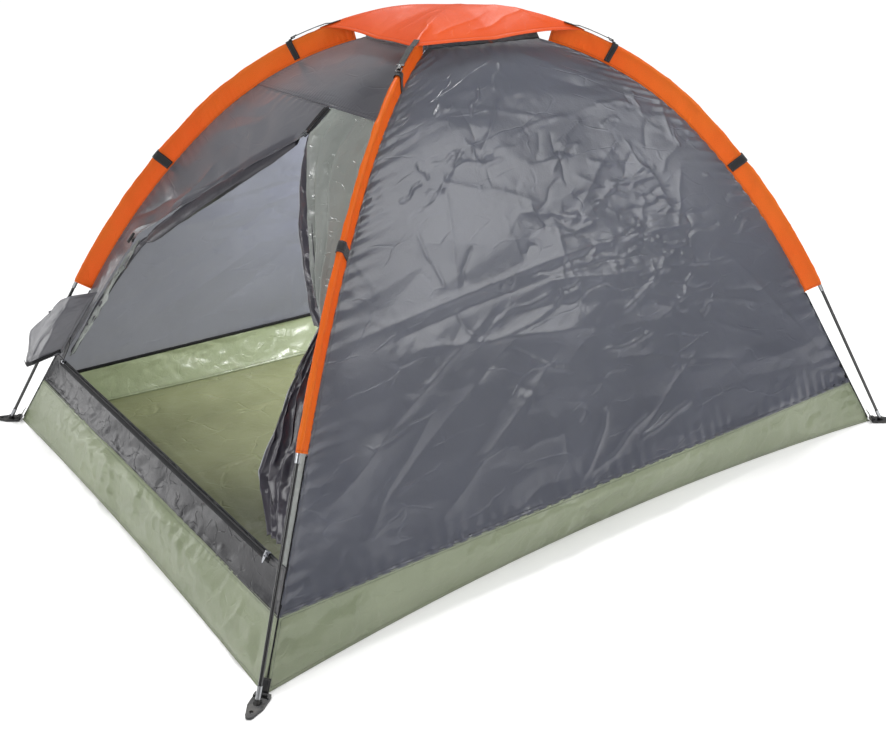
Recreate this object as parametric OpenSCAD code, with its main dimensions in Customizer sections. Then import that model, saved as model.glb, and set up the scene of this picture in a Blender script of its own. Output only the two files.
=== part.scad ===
// Two-person dome tent on two crossing flexible poles, pitched with its door open.
// Origin on the ground at the middle of the footprint. Z is up, Y is the long way, the door faces -Y.

/* [Pitch] */
// Distance between the foot pins along the long side
pin_span_y = 2050; // [1700:10:2500]
// Distance between the foot pins along the short side
pin_span_x = 1500; // [1250:2:1850]
// Height of the pole arches' middle line at the crossing
peak_h = 1152; // [960:2:1380]
// Height of the poles' lower ends above the ground
pole_end_h = 12; // [11:1:16]

/* [Poles] */
// Outside diameter of a pole
pole_d = 8.5; // [7:0.5:10]
// Bore of a pole
pole_bore = 5; // [4:0.5:5.5]
// Turn of each arch's tight top arc, from the crossing
top_turn = 43; // [38:0.1:46]
// Slope of the straight legs
leg_slope = 59.9; // [57:0.1:63]
// Length of each straight leg, which is a pole's end segment
leg_len = 478; // [400:2:520]
// Play between the two poles at the crossing
cross_play = 0.7; // [0.5:0.1:3]
// Length of a joint ferrule
ferrule_len = 40; // [30:2:50]
// Wall of a joint ferrule
ferrule_wall = 0.7; // [0.5:0.1:0.8]
// Length of the steel tip at a pole's end
tip_len = 26; // [20:1:36]

/* [Sleeves] */
// Depth of the sleeve fin below the pole's axis
fin_depth = 42; // [30:1:55]
// Play between a joint ferrule and the sleeve's pocket
pocket_play = 0.192; // [0.1:0.001:0.8]
// Thickness of the pocket and of each fin layer
sleeve_cloth = 1.2; // [0.8:0.1:1.6]
// Turn from the crossing at which a sleeve starts, under the cap
sleeve_start = 16.6; // [16:0.2:17.6]

/* [Walls] */
// Thickness of the wall panels
cloth = 1.6; // [1.2:0.1:2]
// Distance of a sewn edge from the corner plane
seam_gap = 3.2; // [2.8:0.1:4]
// Horizontal distance from a foot pin to the floor corner
corner_back = 28; // [24:1:34]
// Height of the tarpaulin tub
tub_h = 127; // [100:1:160]
// Height of the door threshold
threshold_h = 211; // [190:1:250]
// Height of the seam above the door flaps
door_seam_h = 965; // [940:1:975]
// Inward bow of the tub's long lower edges
side_bow = 70; // [20:2:90]
// Inward bow of the tub's short lower edges
front_bow = 12; // [0:2:30]
// Thickness of the floor sheet
floor_t = 1.6; // [1.2:0.1:2.4]

/* [Door] */
// Height of the top of the opening
door_top_h = 911; // [890:1:915]
// Sideways place of the upright zip
zip_x = 59; // [30:1:90]
// Half width of the opening at the threshold
door_half = 610; // [560:1:620]
// Depth of the gathered right flap
flap_depth = 14; // [8:1:20]
// Depth of the rolled left flap
roll_depth = 26; // [16:1:34]
// Diameter of the zip coil
coil_d = 4; // [3.4:0.1:4.6]

/* [Cap] */
// Turn from the crossing at the cap's corners
cap_turn = 18.9; // [18.4:0.1:20]
// Height of the cap above the arches' middle line
cap_lift = 11.4; // [11:0.1:16]
// Inward bow of the cap's edges, as a share of its half width
cap_bow = 0.08; // [0:0.01:0.15]
// Width of a cap strap
strap_w = 14; // [10:1:18]
// Turn from the crossing at the ring bands
ring_turn = 25.4; // [24.8:0.1:28]

/* [Feet] */
// Width of a foot
foot_w = 34; // [28:1:40]
// Thickness of a foot's sole
foot_t = 6; // [5:0.5:8]
// Reach of a foot's nose beyond the pin
foot_nose = 45; // [42:1:60]
// Diameter of the peg hole
peg_hole_d = 8; // [6:0.5:9]
// Distance of the peg hole from the pin
peg_hole_out = 29; // [26:1:32]

/* [Hidden] */

$fn = 48;
eps = 0.01;
orange = [0.95, 0.4, 0.16];
wall_grey = [0.42, 0.44, 0.49];
dark_grey = [0.26, 0.26, 0.28];
tarp_green = [0.6, 0.64, 0.54];
black = [0.08, 0.08, 0.09];
steel_grey = [0.75, 0.76, 0.78];

// The footprint's diagonals carry the arches, and every wall meets them.
half_diag = sqrt(pow(pin_span_x, 2) + pow(pin_span_y, 2)) / 2;
share_x = pin_span_x / 2 / half_diag;
share_y = pin_span_y / 2 / half_diag;
diag_angle = atan2(pin_span_y, pin_span_x);
ARMS = [[1, -1], [1, 1], [-1, -1], [-1, 1]];
function arm_angle(arm) = atan2(arm[1] * pin_span_y, arm[0] * pin_span_x);

// An arch is a tight top arc, a wider side arc and a straight leg, each tangent to the next.
// It is [peak height, top radius, side radius, side centre's reach, side centre's height].
function arch(h) =
    let (
        reach = half_diag - leg_len * cos(leg_slope),
        drop = h - pole_end_h - leg_len * sin(leg_slope),
        a = sin(top_turn),
        b = sin(leg_slope) - a,
        c = 1 - cos(top_turn),
        d = cos(top_turn) - cos(leg_slope),
        top_r = (reach * d - b * drop) / (a * d - b * c),
        side_r = (a * drop - c * reach) / (a * d - b * c)
    )
    [h, top_r, side_r, (top_r - side_r) * a, h - top_r + (top_r - side_r) * cos(top_turn)];
cross_gap = pole_d + cross_play;
MID = arch(peak_h);
ARCH_A = arch(peak_h - cross_gap / 2);
ARCH_B = arch(peak_h + cross_gap / 2);
function arch_of(arm) = arm[0] * arm[1] < 0 ? ARCH_A : ARCH_B;

// Reach and height of a point of an arch at turn t, moved outward by off.
function arch_r(g, t, off = 0) =
    t <= top_turn ? (g[1] + off) * sin(t) : g[3] + (g[2] + off) * sin(t);
function arch_z(g, t, off = 0) =
    t <= top_turn ? g[0] - g[1] + (g[1] + off) * cos(t) : g[4] + (g[2] + off) * cos(t);
// Turns at which a pole's segments meet: the top arc is three segments, the side arc is one.
JOINT_TURNS = [top_turn / 3, top_turn, leg_slope];

// Reach of the wall's seam under the fin at height z, straight below the sleeve's end.
seam_end = [arch_r(MID, leg_slope, -fin_depth), arch_z(MID, leg_slope, -fin_depth)];
sleeve_end_h = arch_z(MID, leg_slope);
corner_r = half_diag - corner_back;
bend_h = arch_z(MID, top_turn, -fin_depth);
function seam_r(z) =
    z >= bend_h ? sqrt(pow(MID[1] - fin_depth, 2) - pow(z - MID[0] + MID[1], 2)) :
    z >= seam_end[1] ? MID[3] + sqrt(pow(MID[2] - fin_depth, 2) - pow(z - MID[4], 2)) :
    corner_r + (seam_end[0] - corner_r) * z / seam_end[1];
// Height of the roof over reach r, off above the arches' middle line.
function roof_z(r, off) = MID[0] - MID[1] + sqrt(pow(MID[1] + off, 2) - r * r);

// The vent mesh ends just short of the sleeves and of the walls' upper edges.
vent_gap = 4.83;
vent_top = sleeve_start - vent_gap / (MID[1] - fin_depth) * 180 / PI;
wall_top_h = arch_z(MID, sleeve_start, -fin_depth) - 1;
wall_rows = 12;
// Ferrules leave room for the poles' bow inside them, and pockets for their own bow round ferrules.
ferrule_play = 0.093;
pole_bow = pow(ferrule_len, 2) / (8 * MID[1]);
ferrule_bore = pole_d + 2 * (ferrule_play + pole_bow);
pocket_in = ferrule_bore / 2 + ferrule_wall + pole_bow + pocket_play;
pocket_out = pocket_in + sleeve_cloth;
fin_end = fin_depth + 5;
fin_t = 2 * sleeve_cloth;
cap_r = arch_r(MID, cap_turn);
vent_r = arch_r(MID, vent_top, -fin_depth);

// ---- helpers -------------------------------------------------------------------------------

// Stands the first-quadrant slice of an arm's plane: X is the reach, Z is the height.
module on_arm(arm) rotate([0, 0, arm_angle(arm)]) children();

// Places children at turn t of an arch: X runs down the arch, Z points out of it.
module at_turn(g, t) translate([arch_r(g, t), 0, arch_z(g, t)]) rotate([0, t, 0]) children();

// Sweeps a cross-section, X out of the arch and Y across it, between two turns of one arc.
module arc_part(r, cr, cz, t0, t1)
    translate([cr, 0, cz])
        rotate([90, 0, 0])
            rotate([0, 0, 90 - t1])
                rotate_extrude(angle = t1 - t0, $fn = 360)
                    translate([r, 0])
                        children();

// Sweeps a cross-section along an arch's two arcs from turn t0 to turn t1.
module arc_sweep(g, t0, t1) {
    if (t0 < top_turn)
        arc_part(g[1], 0, g[0] - g[1], t0, min(t1, top_turn)) children();
    if (t1 > top_turn)
        arc_part(g[2], g[3], g[4], max(t0, top_turn + eps), t1) children();
}

// Tube of a pole along one arc.
module arc_tube(r, cr, cz, t0, t1)
    arc_part(r, cr, cz, t0, t1)
        ring(pole_d, pole_bore);

// Flat ring.
module ring(d_out, d_in)
    difference() {
        circle(d = d_out);
        circle(d = d_in);
    }

// Sheet of even thickness through a grid of points, kept above the ground.
function unit(v) = v / norm(v);
function grid_normal(g, i, j) =
    let (
        n = len(g) - 1,
        m = len(g[0]) - 1,
        du = g[min(i + 1, n)][j] - g[max(i - 1, 0)][j],
        dv = g[i][min(j + 1, m)] - g[i][max(j - 1, 0)]
    )
    unit(cross(du, dv));
function above(p) = [p[0], p[1], max(p[2], 0)];
// With ridges, the quads are split along the grid's two diagonals.
module sheet(g, t, ridges = false) {
    n = len(g);
    m = len(g[0]);
    function id(i, j, side) = side * n * m + i * m + j;
    function ridge_at(i, j) = ridges && (2 * i + 2 - n) * (2 * j + 2 - m) > 0;
    function quad(a, b, c, d, split) = split ? [[a, b, d], [a, d, c]] : [[a, b, c], [c, b, d]];
    top = [for (i = [0:n - 1]) for (j = [0:m - 1]) above(g[i][j] + grid_normal(g, i, j) * t / 2)];
    low = [for (i = [0:n - 1]) for (j = [0:m - 1]) above(g[i][j] - grid_normal(g, i, j) * t / 2)];
    skin = [
        for (i = [0:n - 2]) for (j = [0:m - 2]) each concat(
            quad(id(i, j, 0), id(i, j + 1, 0), id(i + 1, j, 0), id(i + 1, j + 1, 0), ridge_at(i, j)),
            quad(id(i, j, 1), id(i + 1, j, 1), id(i, j + 1, 1), id(i + 1, j + 1, 1), ridge_at(i, j))
        )
    ];
    rim_ij = concat(
        [for (i = [0:n - 2]) [i, 0]], [for (j = [0:m - 2]) [n - 1, j]],
        [for (i = [n - 1:-1:1]) [i, m - 1]], [for (j = [m - 1:-1:1]) [0, j]]
    );
    k = len(rim_ij);
    rim = [
        for (q = [0:k - 1])
            let (a = rim_ij[q], b = rim_ij[(q + 1) % k]) each [
                [id(a[0], a[1], 0), id(b[0], b[1], 0), id(b[0], b[1], 1)],
                [id(a[0], a[1], 0), id(b[0], b[1], 1), id(a[0], a[1], 1)]
            ]
    ];
    polyhedron(points = concat(top, low), faces = concat(skin, rim), convexity = 6);
}

// Wall ribbon: the seam profile from z0 to z1, seen along the wall, off outward and t thick.
function wall_point(z, share) = [seam_r(z) * share, z];
function wall_normal(z, share) =
    let (d = wall_point(z + 1, share) - wall_point(z - 1, share))
    unit([d[1], -d[0]]);
function wall_levels(z0, z1) =
    let (mids = [for (i = [0:wall_rows]) seam_end[1] + (wall_top_h - seam_end[1]) * i / wall_rows])
    concat([z0], [for (z = mids) if (z > z0 + 1 && z < z1 - 1) z], [z1]);
module wall_ribbon(z0, z1, share, off, t) {
    zs = wall_levels(z0, z1);
    outer = [for (z = zs) wall_point(z, share) + wall_normal(z, share) * off];
    inner = [for (z = zs) wall_point(z, share) + wall_normal(z, share) * (off - t)];
    polygon(concat(outer, [for (i = [len(zs) - 1:-1:0]) inner[i]]));
}

// Long side wall on +X between the two corner planes.
module side_panel(z0, z1, off, t, gap)
    intersection() {
        translate([0, pin_span_y / 2, 0])
            rotate([90, 0, 0])
                linear_extrude(pin_span_y)
                    wall_ribbon(z0, z1, share_x, off, t);
        wedge(share_x, share_y, gap);
    }

// Short end wall on -Y between the two corner planes.
module end_panel(z0, z1, off, t, gap)
    rotate([0, 0, -90])
        intersection() {
            translate([0, pin_span_x / 2, 0])
                rotate([90, 0, 0])
                    linear_extrude(pin_span_x)
                        wall_ribbon(z0, z1, share_y, off, t);
            wedge(share_y, share_x, gap);
        }

// Upright wedge on +X that stops gap short of both corner planes.
module wedge(along, across, gap) {
    tip = gap / across;
    reach = half_diag;
    side = (reach - tip) * across / along;
    translate([0, 0, -eps])
        linear_extrude(peak_h + 2 * cap_lift)
            polygon([[tip, 0], [reach, -side], [reach, side]]);
}

// Prism through the front wall, its outline given as [x, z].
module front_cut(outline)
    rotate([90, 0, 0])
        linear_extrude(pin_span_y)
            polygon(outline);

// Point of the front wall, off outward.
function front_y(z, off = 0) =
    -(wall_point(z, share_y) + wall_normal(z, share_y) * off)[0];
function front_point(p, off = 0) =
    let (q = wall_point(p[1], share_y) + wall_normal(p[1], share_y) * off)
    [p[0], -q[0], q[1]];

// ---- floor and tub ----------------------------------------------------------------------------

floor_x = corner_r * share_x;
floor_y = corner_r * share_y;
tub_steps = 16;
tub_edge = 3;
// Lower edge of the tub, inset towards the middle.
function side_edge(v, inset) = [floor_x - side_bow * (1 - v * v) - inset, (floor_y - inset) * v];
function end_edge(u, inset) = [(floor_x - inset) * u, -(floor_y - front_bow * (1 - u * u) - inset)];
function steps(n) = [for (i = [0:n]) 2 * i / n - 1];

module floor_sheet() {
    right = [for (v = steps(tub_steps)) side_edge(v, tub_edge)];
    rear = [for (u = steps(tub_steps)) let (p = end_edge(u, tub_edge)) [-p[0], -p[1]]];
    left = [for (p = right) -p];
    front = [for (p = rear) -p];
    color(tarp_green)
        linear_extrude(floor_t)
            polygon(concat(
                [for (i = [0:tub_steps - 1]) right[i]], [for (i = [0:tub_steps - 1]) rear[i]],
                [for (i = [0:tub_steps - 1]) left[i]], [for (i = [0:tub_steps - 1]) front[i]]
            ));
}

// A tub wall leans from its bowed lower edge over a crease to the wall's lower edge.
// The crease rises from the floor corners to crease_h at the middle.
crease_h = 0.82 * tub_h;
crease_out = 16;
tub_top = tub_h - 0.8;
function crease_z(v) = 2 + (crease_h - 2) * (1 - pow(abs(v), 2.3));
function tub_column(low, top, out, v) =
    let (
        zc = crease_z(v),
        f = zc / tub_top,
        lean = low + (top - low) * f
    )
    [low, [lean[0] + out[0] * (1 - v * v), lean[1] + out[1] * (1 - v * v), zc], top];
function side_column(v) =
    let (
        p = side_edge(v, 0),
        r = seam_r(tub_top),
        shy = seam_gap / share_x
    )
    tub_column(
        [p[0], p[1] - sign(v) * shy * abs(v), 1], [r * share_x, (r * share_y - shy) * v, tub_top],
        [crease_out, 0], v
    );
function end_column(u) =
    let (
        p = end_edge(u, 0),
        r = seam_r(tub_top),
        shy = seam_gap / share_y
    )
    tub_column(
        [p[0] - sign(u) * shy * abs(u), p[1], 1], [(r * share_x - shy) * u, -r * share_y, tub_top],
        [0, -crease_out], u
    );
module tub_side() color(tarp_green) sheet([for (v = steps(tub_steps)) side_column(v)], cloth);
module tub_end() color(tarp_green) sheet([for (u = steps(tub_steps)) end_column(u)], cloth);
module tub_right() tub_side();
module tub_left() rotate([0, 0, 180]) tub_side();
module tub_front() tub_end();
module tub_rear() rotate([0, 0, 180]) tub_end();

// Bindings down the four corners, from the sleeve ends to the floor corners.
seam_tape_w = 9;
seam_tape_low = 12;
seam_tape_high = seam_end[1] - 5;
module corner_seams()
    color(dark_grey)
        for (arm = ARMS)
            on_arm(arm)
                translate([0, cloth / 2, 0])
                    rotate([90, 0, 0])
                        linear_extrude(cloth)
                            polygon([
                                [seam_r(seam_tape_low), seam_tape_low],
                                [seam_r(seam_tape_high), seam_tape_high],
                                [seam_r(seam_tape_high) - seam_tape_w, seam_tape_high],
                                [seam_r(seam_tape_low) - seam_tape_w, seam_tape_low]
                            ]);

// Black bindings inside, where the walls are sewn to the tub.
tape_w = 12;
tape_t = 1.2;
module inner_tapes()
    color(black) {
        for (turn = [0, 180])
            rotate([0, 0, turn])
                side_panel(tub_h - tape_w / 2, tub_h + tape_w / 2, -2 * cloth, tape_t, seam_gap + 4);
        rotate([0, 0, 180])
            end_panel(tub_h - tape_w / 2, tub_h + tape_w / 2, -2 * cloth, tape_t, seam_gap + 4);
    }

// ---- walls ------------------------------------------------------------------------------------

module wall_right() color(wall_grey) side_panel(tub_h, wall_top_h, 0, cloth, seam_gap);
module wall_left() rotate([0, 0, 180]) wall_right();
module wall_rear()
    color(wall_grey)
        rotate([0, 0, 180])
            end_panel(tub_h, wall_top_h, 0, cloth, seam_gap);

// Space between panels that are sewn together.
seam_space = 0.4;
module threshold()
    color(dark_grey)
        end_panel(tub_h, threshold_h, 0, cloth, seam_gap);
module front_panel()
    color(wall_grey)
        end_panel(door_seam_h + seam_space, wall_top_h, 0, cloth, seam_gap);

// The opening's left edge as [x, z]: threshold's left end, a bend at the sleeve's end, the tie, and
// the top of the upright zip. The strips of wall beside it are measured in from the corner seams.
tie_h = 580;
strip_bend_w = 62;
strip_tie_w = 78;
strip_w = 24;
function in_from_seam(z, w) = seam_r(z) * share_x - w;
left_foot = [-door_half, threshold_h];
left_mid = [-in_from_seam(sleeve_end_h, strip_bend_w), sleeve_end_h];
tie_point = [-in_from_seam(tie_h, strip_tie_w), tie_h];
door_apex = [zip_x, door_top_h];
left_edge = [left_foot, left_mid, tie_point, door_apex];

module front_strip_left()
    color(wall_grey)
        intersection() {
            end_panel(threshold_h + seam_space, door_seam_h, 0, cloth, seam_gap);
            front_cut(concat(
                [[-half_diag, threshold_h]], left_edge,
                [[zip_x, peak_h], [-half_diag, peak_h]]
            ));
        }

// A narrow strip down the near sleeve, which the right flap hangs from.
module front_strip_right()
    color(wall_grey)
        difference() {
            end_panel(threshold_h + seam_space, door_seam_h, 0, cloth, seam_gap);
            front_cut(concat(
                [[-half_diag, 0]],
                [for (z = strip_levels) [in_from_seam(z, strip_w), z]],
                [[in_from_seam(door_seam_h, strip_w), peak_h], [-half_diag, peak_h]]
            ));
        }
strip_levels = [0, sleeve_end_h, 560, 680, 780, 860, 920, door_seam_h + 1];

// Mesh vent under the cap, four shallow gores.
vent_steps = 10;
vent_t = 1;
module vent_mesh()
    color(black)
        sheet(
            [for (u = steps(vent_steps)) [for (v = steps(vent_steps))
                [u * vent_r * share_x, v * vent_r * share_y,
                    roof_z(max(abs(u), abs(v)) * vent_r, -fin_depth)]]],
            vent_t, true
        );

// ---- sleeves and bands --------------------------------------------------------------------------

// Pocket round the pole with a flat fin below it; X points out of the arch.
module sleeve_section()
    difference() {
        union() {
            circle(r = pocket_out);
            translate([-fin_end, -fin_t / 2])
                square([fin_end - pocket_in, fin_t]);
        }
        circle(r = pocket_in);
    }
module sleeve(arm)
    color(orange)
        on_arm(arm)
            arc_sweep(arch_of(arm), sleeve_start, leg_slope - 0.02)
                sleeve_section();
module sleeve_near() sleeve(ARMS[0]);
module sleeve_right() sleeve(ARMS[1]);
module sleeve_left() sleeve(ARMS[2]);
module sleeve_far() sleeve(ARMS[3]);

// Webbing folded over a sleeve like a saddle; Z points out of the arch.
web_t = 1.4;
web_play = 0.5;
band_drop = fin_depth - 4;
module saddle(w) {
    in_r = pocket_out + web_play;
    out_r = in_r + web_t;
    fin_in = fin_t / 2 + web_play;
    rotate([90, 0, 90])
        linear_extrude(w, center = true)
            difference() {
                union() {
                    circle(r = out_r);
                    translate([-fin_in - web_t, -band_drop])
                        square([2 * (fin_in + web_t), band_drop]);
                }
                circle(r = in_r);
                translate([-fin_in, -band_drop - 1])
                    square([2 * fin_in, band_drop]);
            }
}
guy_turn = 47.7;
guy_band_w = 25;
ring_band_w = 16;
module guy_bands()
    color(black)
        for (arm = ARMS)
            on_arm(arm)
                at_turn(arch_of(arm), guy_turn)
                    saddle(guy_band_w);
module ring_bands()
    color(black)
        for (arm = ARMS)
            on_arm(arm)
                at_turn(arch_of(arm), ring_turn)
                    saddle(ring_band_w);

// Rings that lie on the ring bands, their long loop towards the cap.
ring_seat = pocket_out + web_play + web_t + 0.3;
ring_rod = 2;
ring_in_w = 10;
ring_in_l = 13;
ring_side = ring_in_l / 2 + ring_band_w / 4;
module strap_rings()
    color(black)
        for (arm = ARMS)
            on_arm(arm)
                at_turn(arch_of(arm), ring_turn)
                    translate([-ring_side, 0, ring_seat])
                        linear_extrude(ring_rod)
                            difference() {
                                square([ring_in_l + 2 * ring_rod, ring_in_w + 2 * ring_rod], center = true);
                                square([ring_in_l, ring_in_w], center = true);
                            }

// ---- poles --------------------------------------------------------------------------------------

// Play between two segments' ends, as a turn.
joint_play = 0.012;
module pole(g, turn)
    color(black)
        rotate([0, 0, turn]) {
            arc_tube(g[1], 0, g[0] - g[1], joint_play - JOINT_TURNS[0], JOINT_TURNS[0] - joint_play);
            for (half = [0, 180])
                rotate([0, 0, half]) {
                    arc_tube(g[1], 0, g[0] - g[1], JOINT_TURNS[0], JOINT_TURNS[1] - joint_play);
                    arc_tube(g[2], g[3], g[4], JOINT_TURNS[1], JOINT_TURNS[2] - joint_play);
                    translate([half_diag, 0, pole_end_h])
                        rotate([0, leg_slope - 90, 0])
                            linear_extrude(leg_len)
                                ring(pole_d, pole_bore);
                }
        }
module pole_a() pole(ARCH_A, -diag_angle);
module pole_b() pole(ARCH_B, diag_angle);

// Straight steel tubes over the pole joints.
module ferrules(g, turn)
    color(steel_grey)
        rotate([0, 0, turn])
            for (half = [0, 180])
                rotate([0, 0, half])
                    for (t = JOINT_TURNS)
                        at_turn(g, t - eps)
                            rotate([0, 90, 0])
                                linear_extrude(ferrule_len, center = true)
                                    ring(ferrule_bore + 2 * ferrule_wall, ferrule_bore);
module ferrules_a() ferrules(ARCH_A, -diag_angle);
module ferrules_b() ferrules(ARCH_B, diag_angle);

// Steel tips on the pole ends.
tip_play = 0.05;
tip_wall = 0.9;
module pole_tips()
    color(steel_grey)
        for (arm = ARMS)
            at_pole_end(arm)
                linear_extrude(tip_len)
                    ring(pole_d + 2 * (tip_play + tip_wall), pole_d + 2 * tip_play);

// ---- feet ---------------------------------------------------------------------------------------

// Frame of a pole's lower end: origin there, Z up the leg.
module at_pole_end(arm)
    on_arm(arm)
        translate([half_diag, 0, pole_end_h])
            rotate([0, leg_slope - 90, 0])
                children();

pin_play = 0.3;
pin_d = pole_bore - 2 * pin_play;
pin_up = 22;
pin_head = 5;
module foot_pins()
    color(steel_grey)
        for (arm = ARMS)
            at_pole_end(arm)
                translate([0, 0, -pin_head])
                    cylinder(h = pin_up + pin_head, d = pin_d);

// Boat-shaped sole with a boss under the pole, a peg hole and a raised bar for the webbing.
boss_d = 15;
shoulder = 12;
rib_w = 4;
bar_w = 6;
bar_in = 24;
bar_low = 3;
bar_high = 9;
slot_w = 6;
nose_r = 9;
heel = bar_in - bar_w - slot_w;
module sole_outline()
    union() {
        translate([-heel, -foot_w / 2])
            square([heel + shoulder, foot_w]);
        polygon([
            [shoulder, -foot_w / 2], [foot_nose - nose_r, -nose_r], [foot_nose - nose_r, nose_r],
            [shoulder, foot_w / 2]
        ]);
        translate([foot_nose - nose_r, 0])
            circle(r = nose_r);
    }
module feet()
    color(black)
        for (arm = ARMS) {
            difference() {
                union() {
                    on_arm(arm)
                        translate([half_diag, 0, 0]) {
                            linear_extrude(foot_t) sole_outline();
                            for (side = [-1, 1])
                                translate([-bar_in, side * (foot_w - rib_w) / 2 - rib_w / 2, 0])
                                    cube([slot_w + bar_w + eps, rib_w, bar_high]);
                            translate([-bar_in, -foot_w / 2, bar_low])
                                cube([bar_w, foot_w, bar_high - bar_low]);
                        }
                    intersection() {
                        at_pole_end(arm)
                            translate([0, 0, -pole_end_h])
                                cylinder(h = pole_end_h - 0.2, d = boss_d);
                        translate([0, 0, 1])
                            linear_extrude(2 * pole_end_h)
                                square(4 * half_diag, center = true);
                    }
                }
                at_pole_end(arm)
                    translate([0, 0, -pin_head])
                        cylinder(h = 2 * pin_head, d = pin_d);
                on_arm(arm)
                    translate([half_diag + peg_hole_out, 0, -1])
                        cylinder(h = foot_t + 2, d = peg_hole_d);
            }
        }

// Webbing loops round the foot bars, with a tail sewn up the floor corner.
loop_w = 22;
web_tail = 20;
module foot_webbings() {
    x0 = half_diag - bar_in;
    play = 0.4;
    lean = (corner_r - seam_end[0]) / seam_end[1] * web_tail;
    color(black)
        for (arm = ARMS)
            on_arm(arm)
                translate([0, loop_w / 2, 0])
                    rotate([90, 0, 0])
                        linear_extrude(loop_w)
                            union() {
                                difference() {
                                    translate([x0 - play - web_t, bar_low - play - web_t])
                                        square([bar_w + 2 * (play + web_t), bar_high - bar_low + 2 * (play + web_t)]);
                                    translate([x0 - play, bar_low - play])
                                        square([bar_w + 2 * play, bar_high - bar_low + 2 * play]);
                                }
                                polygon([
                                    [x0 - play - web_t, bar_high], [x0 - play, bar_high],
                                    [x0 - play - lean, bar_high + web_tail],
                                    [x0 - play - web_t - lean, bar_high + web_tail]
                                ]);
                            }
}

// ---- zips ---------------------------------------------------------------------------------------

// Frame of the threshold's top edge: X along the zip, Z up the front wall, -Y outward.
threshold_lean = atan2(front_y(threshold_h) - front_y(threshold_h - 10), 10);
module at_threshold(x, out = 0)
    translate([x, front_y(threshold_h), threshold_h])
        rotate([-threshold_lean, 0, 0])
            translate([0, -out, 0])
                children();
zip_tape_t = 1;
zip_tape_w = 13;
zip_drop = 3;
slider_w = 10;
slider_l = 14;
plate_t = 1.4;
slider_play = 0.5;
plate_y = coil_d / 2 + slider_play;
coil_out = plate_y + plate_t + slider_play;
zip_short = 10;
module threshold_zip()
    color(black)
        at_threshold(-door_half, coil_out)
            translate([0, 0, -zip_drop]) {
                rotate([0, 90, 0])
                    cylinder(h = 2 * door_half - zip_short, d = coil_d);
                translate([0, -zip_tape_t / 2, -zip_tape_w])
                    cube([2 * door_half - zip_short, zip_tape_t, zip_tape_w]);
            }

// Frame of the upright zip's top of the opening: Z up the front wall, -Y outward.
zip_lean = atan2(front_y(door_seam_h) - front_y(door_top_h), door_seam_h - door_top_h);
door_zip_len = (door_seam_h - door_top_h) / cos(zip_lean);
module at_apex(out = 0)
    translate([zip_x, front_y(door_top_h), door_top_h])
        rotate([-zip_lean, 0, 0])
            translate([0, -out, 0])
                children();
// Two rows of teeth on two tapes, with room between them for the slider's post.
row_d = 3;
post_t = 2.2;
row_gap = post_t + 2 * slider_play;
module door_zip()
    color(black)
        at_apex(coil_out)
            for (turn = [0, 180])
                rotate([0, 0, turn]) {
                    translate([(row_gap + row_d) / 2, 0, 0])
                        cylinder(h = door_zip_len, d = row_d);
                    translate([row_gap / 2 + row_d - 0.5, -zip_tape_t / 2, 0])
                        cube([zip_tape_w - row_gap / 2 - row_d, zip_tape_t, door_zip_len]);
                }

// Slider: two plates joined by a post, X across the zip and Z along it, and a lug with a pin hole.
lug_w = 4;
lug_hole = 1.8;
lug_out = 3.4;
module slider_body(post_x, post_w, post_l, lug_turn)
    difference() {
        union() {
            for (side = [-1, 1])
                translate([-slider_w / 2, side * (plate_y + plate_t / 2) - plate_t / 2, -slider_l / 2])
                    cube([slider_w, plate_t, slider_l]);
            translate([post_x, -plate_y - eps, -slider_l / 2])
                cube([post_w, 2 * (plate_y + eps), post_l]);
            rotate([0, lug_turn, 0])
                translate([-lug_w / 2, -plate_y - plate_t - lug_out, -lug_out])
                    cube([lug_w, lug_out + eps, 2 * lug_out]);
        }
        rotate([0, lug_turn, 0])
            translate([-lug_w, -plate_y - plate_t - lug_out / 2, 0])
                rotate([0, 90, 0])
                    cylinder(h = 2 * lug_w, d = lug_hole, $fn = 24);
    }
// Distance of the pull's pivot outward from the coil's axis.
pivot_out = plate_y + plate_t + lug_out / 2;

// Pull: an eye on a pin through the lug, and a leaf-shaped tab along -Z.
pull_pin_d = 1.6;
eye_w = 9;
module pull(tab_l, tab_w, tab_t, stem) {
    wire = pull_pin_d;
    rotate([0, 90, 0])
        cylinder(h = eye_w, d = pull_pin_d, center = true, $fn = 24);
    for (side = [-1, 1])
        translate([side * (eye_w - wire) / 2 - wire / 2, -wire / 2, -stem])
            cube([wire, wire, stem + wire / 2]);
    translate([-eye_w / 2, -wire / 2, -stem])
        cube([eye_w, wire, wire]);
    translate([0, tab_t / 2, -stem])
        rotate([90, 0, 0])
            linear_extrude(tab_t)
                polygon([
                    [-eye_w / 2, 1], [-tab_w / 2, -tab_l * 0.4], [-tab_w / 2, -tab_l * 0.6], [0, -tab_l],
                    [tab_w / 2, -tab_l * 0.6], [tab_w / 2, -tab_l * 0.4], [eye_w / 2, 1]
                ]);
}

module small_pull() pull(14, 7, 1.4, 8);

// Upright zip's slider rests at the top of the opening and can run up the closed length.
module slider_top()
    color(steel_grey)
        at_apex(coil_out)
            translate([0, 0, -slider_l / 2 - 0.5])
                slider_body(-post_t / 2, post_t, slider_l / 2, 0);
module pull_top()
    color(steel_grey)
        at_apex(coil_out + pivot_out)
            translate([0, 0, -slider_l / 2 - 0.5])
                small_pull();

// Threshold sliders stand near the two ends of the open threshold zip.
left_room = 25;
right_room = 10;
side_post = 1.6;
slider_left_x = left_room - door_half;
slider_right_x = door_half - zip_short - right_room;
module threshold_slider(x)
    at_threshold(x, coil_out)
        translate([0, 0, -zip_drop])
            rotate([0, 90, 0])
                slider_body(-slider_w / 2, side_post, slider_l, 90);
module slider_left() color(steel_grey) threshold_slider(slider_left_x);
module slider_right() color(steel_grey) threshold_slider(slider_right_x);

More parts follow.
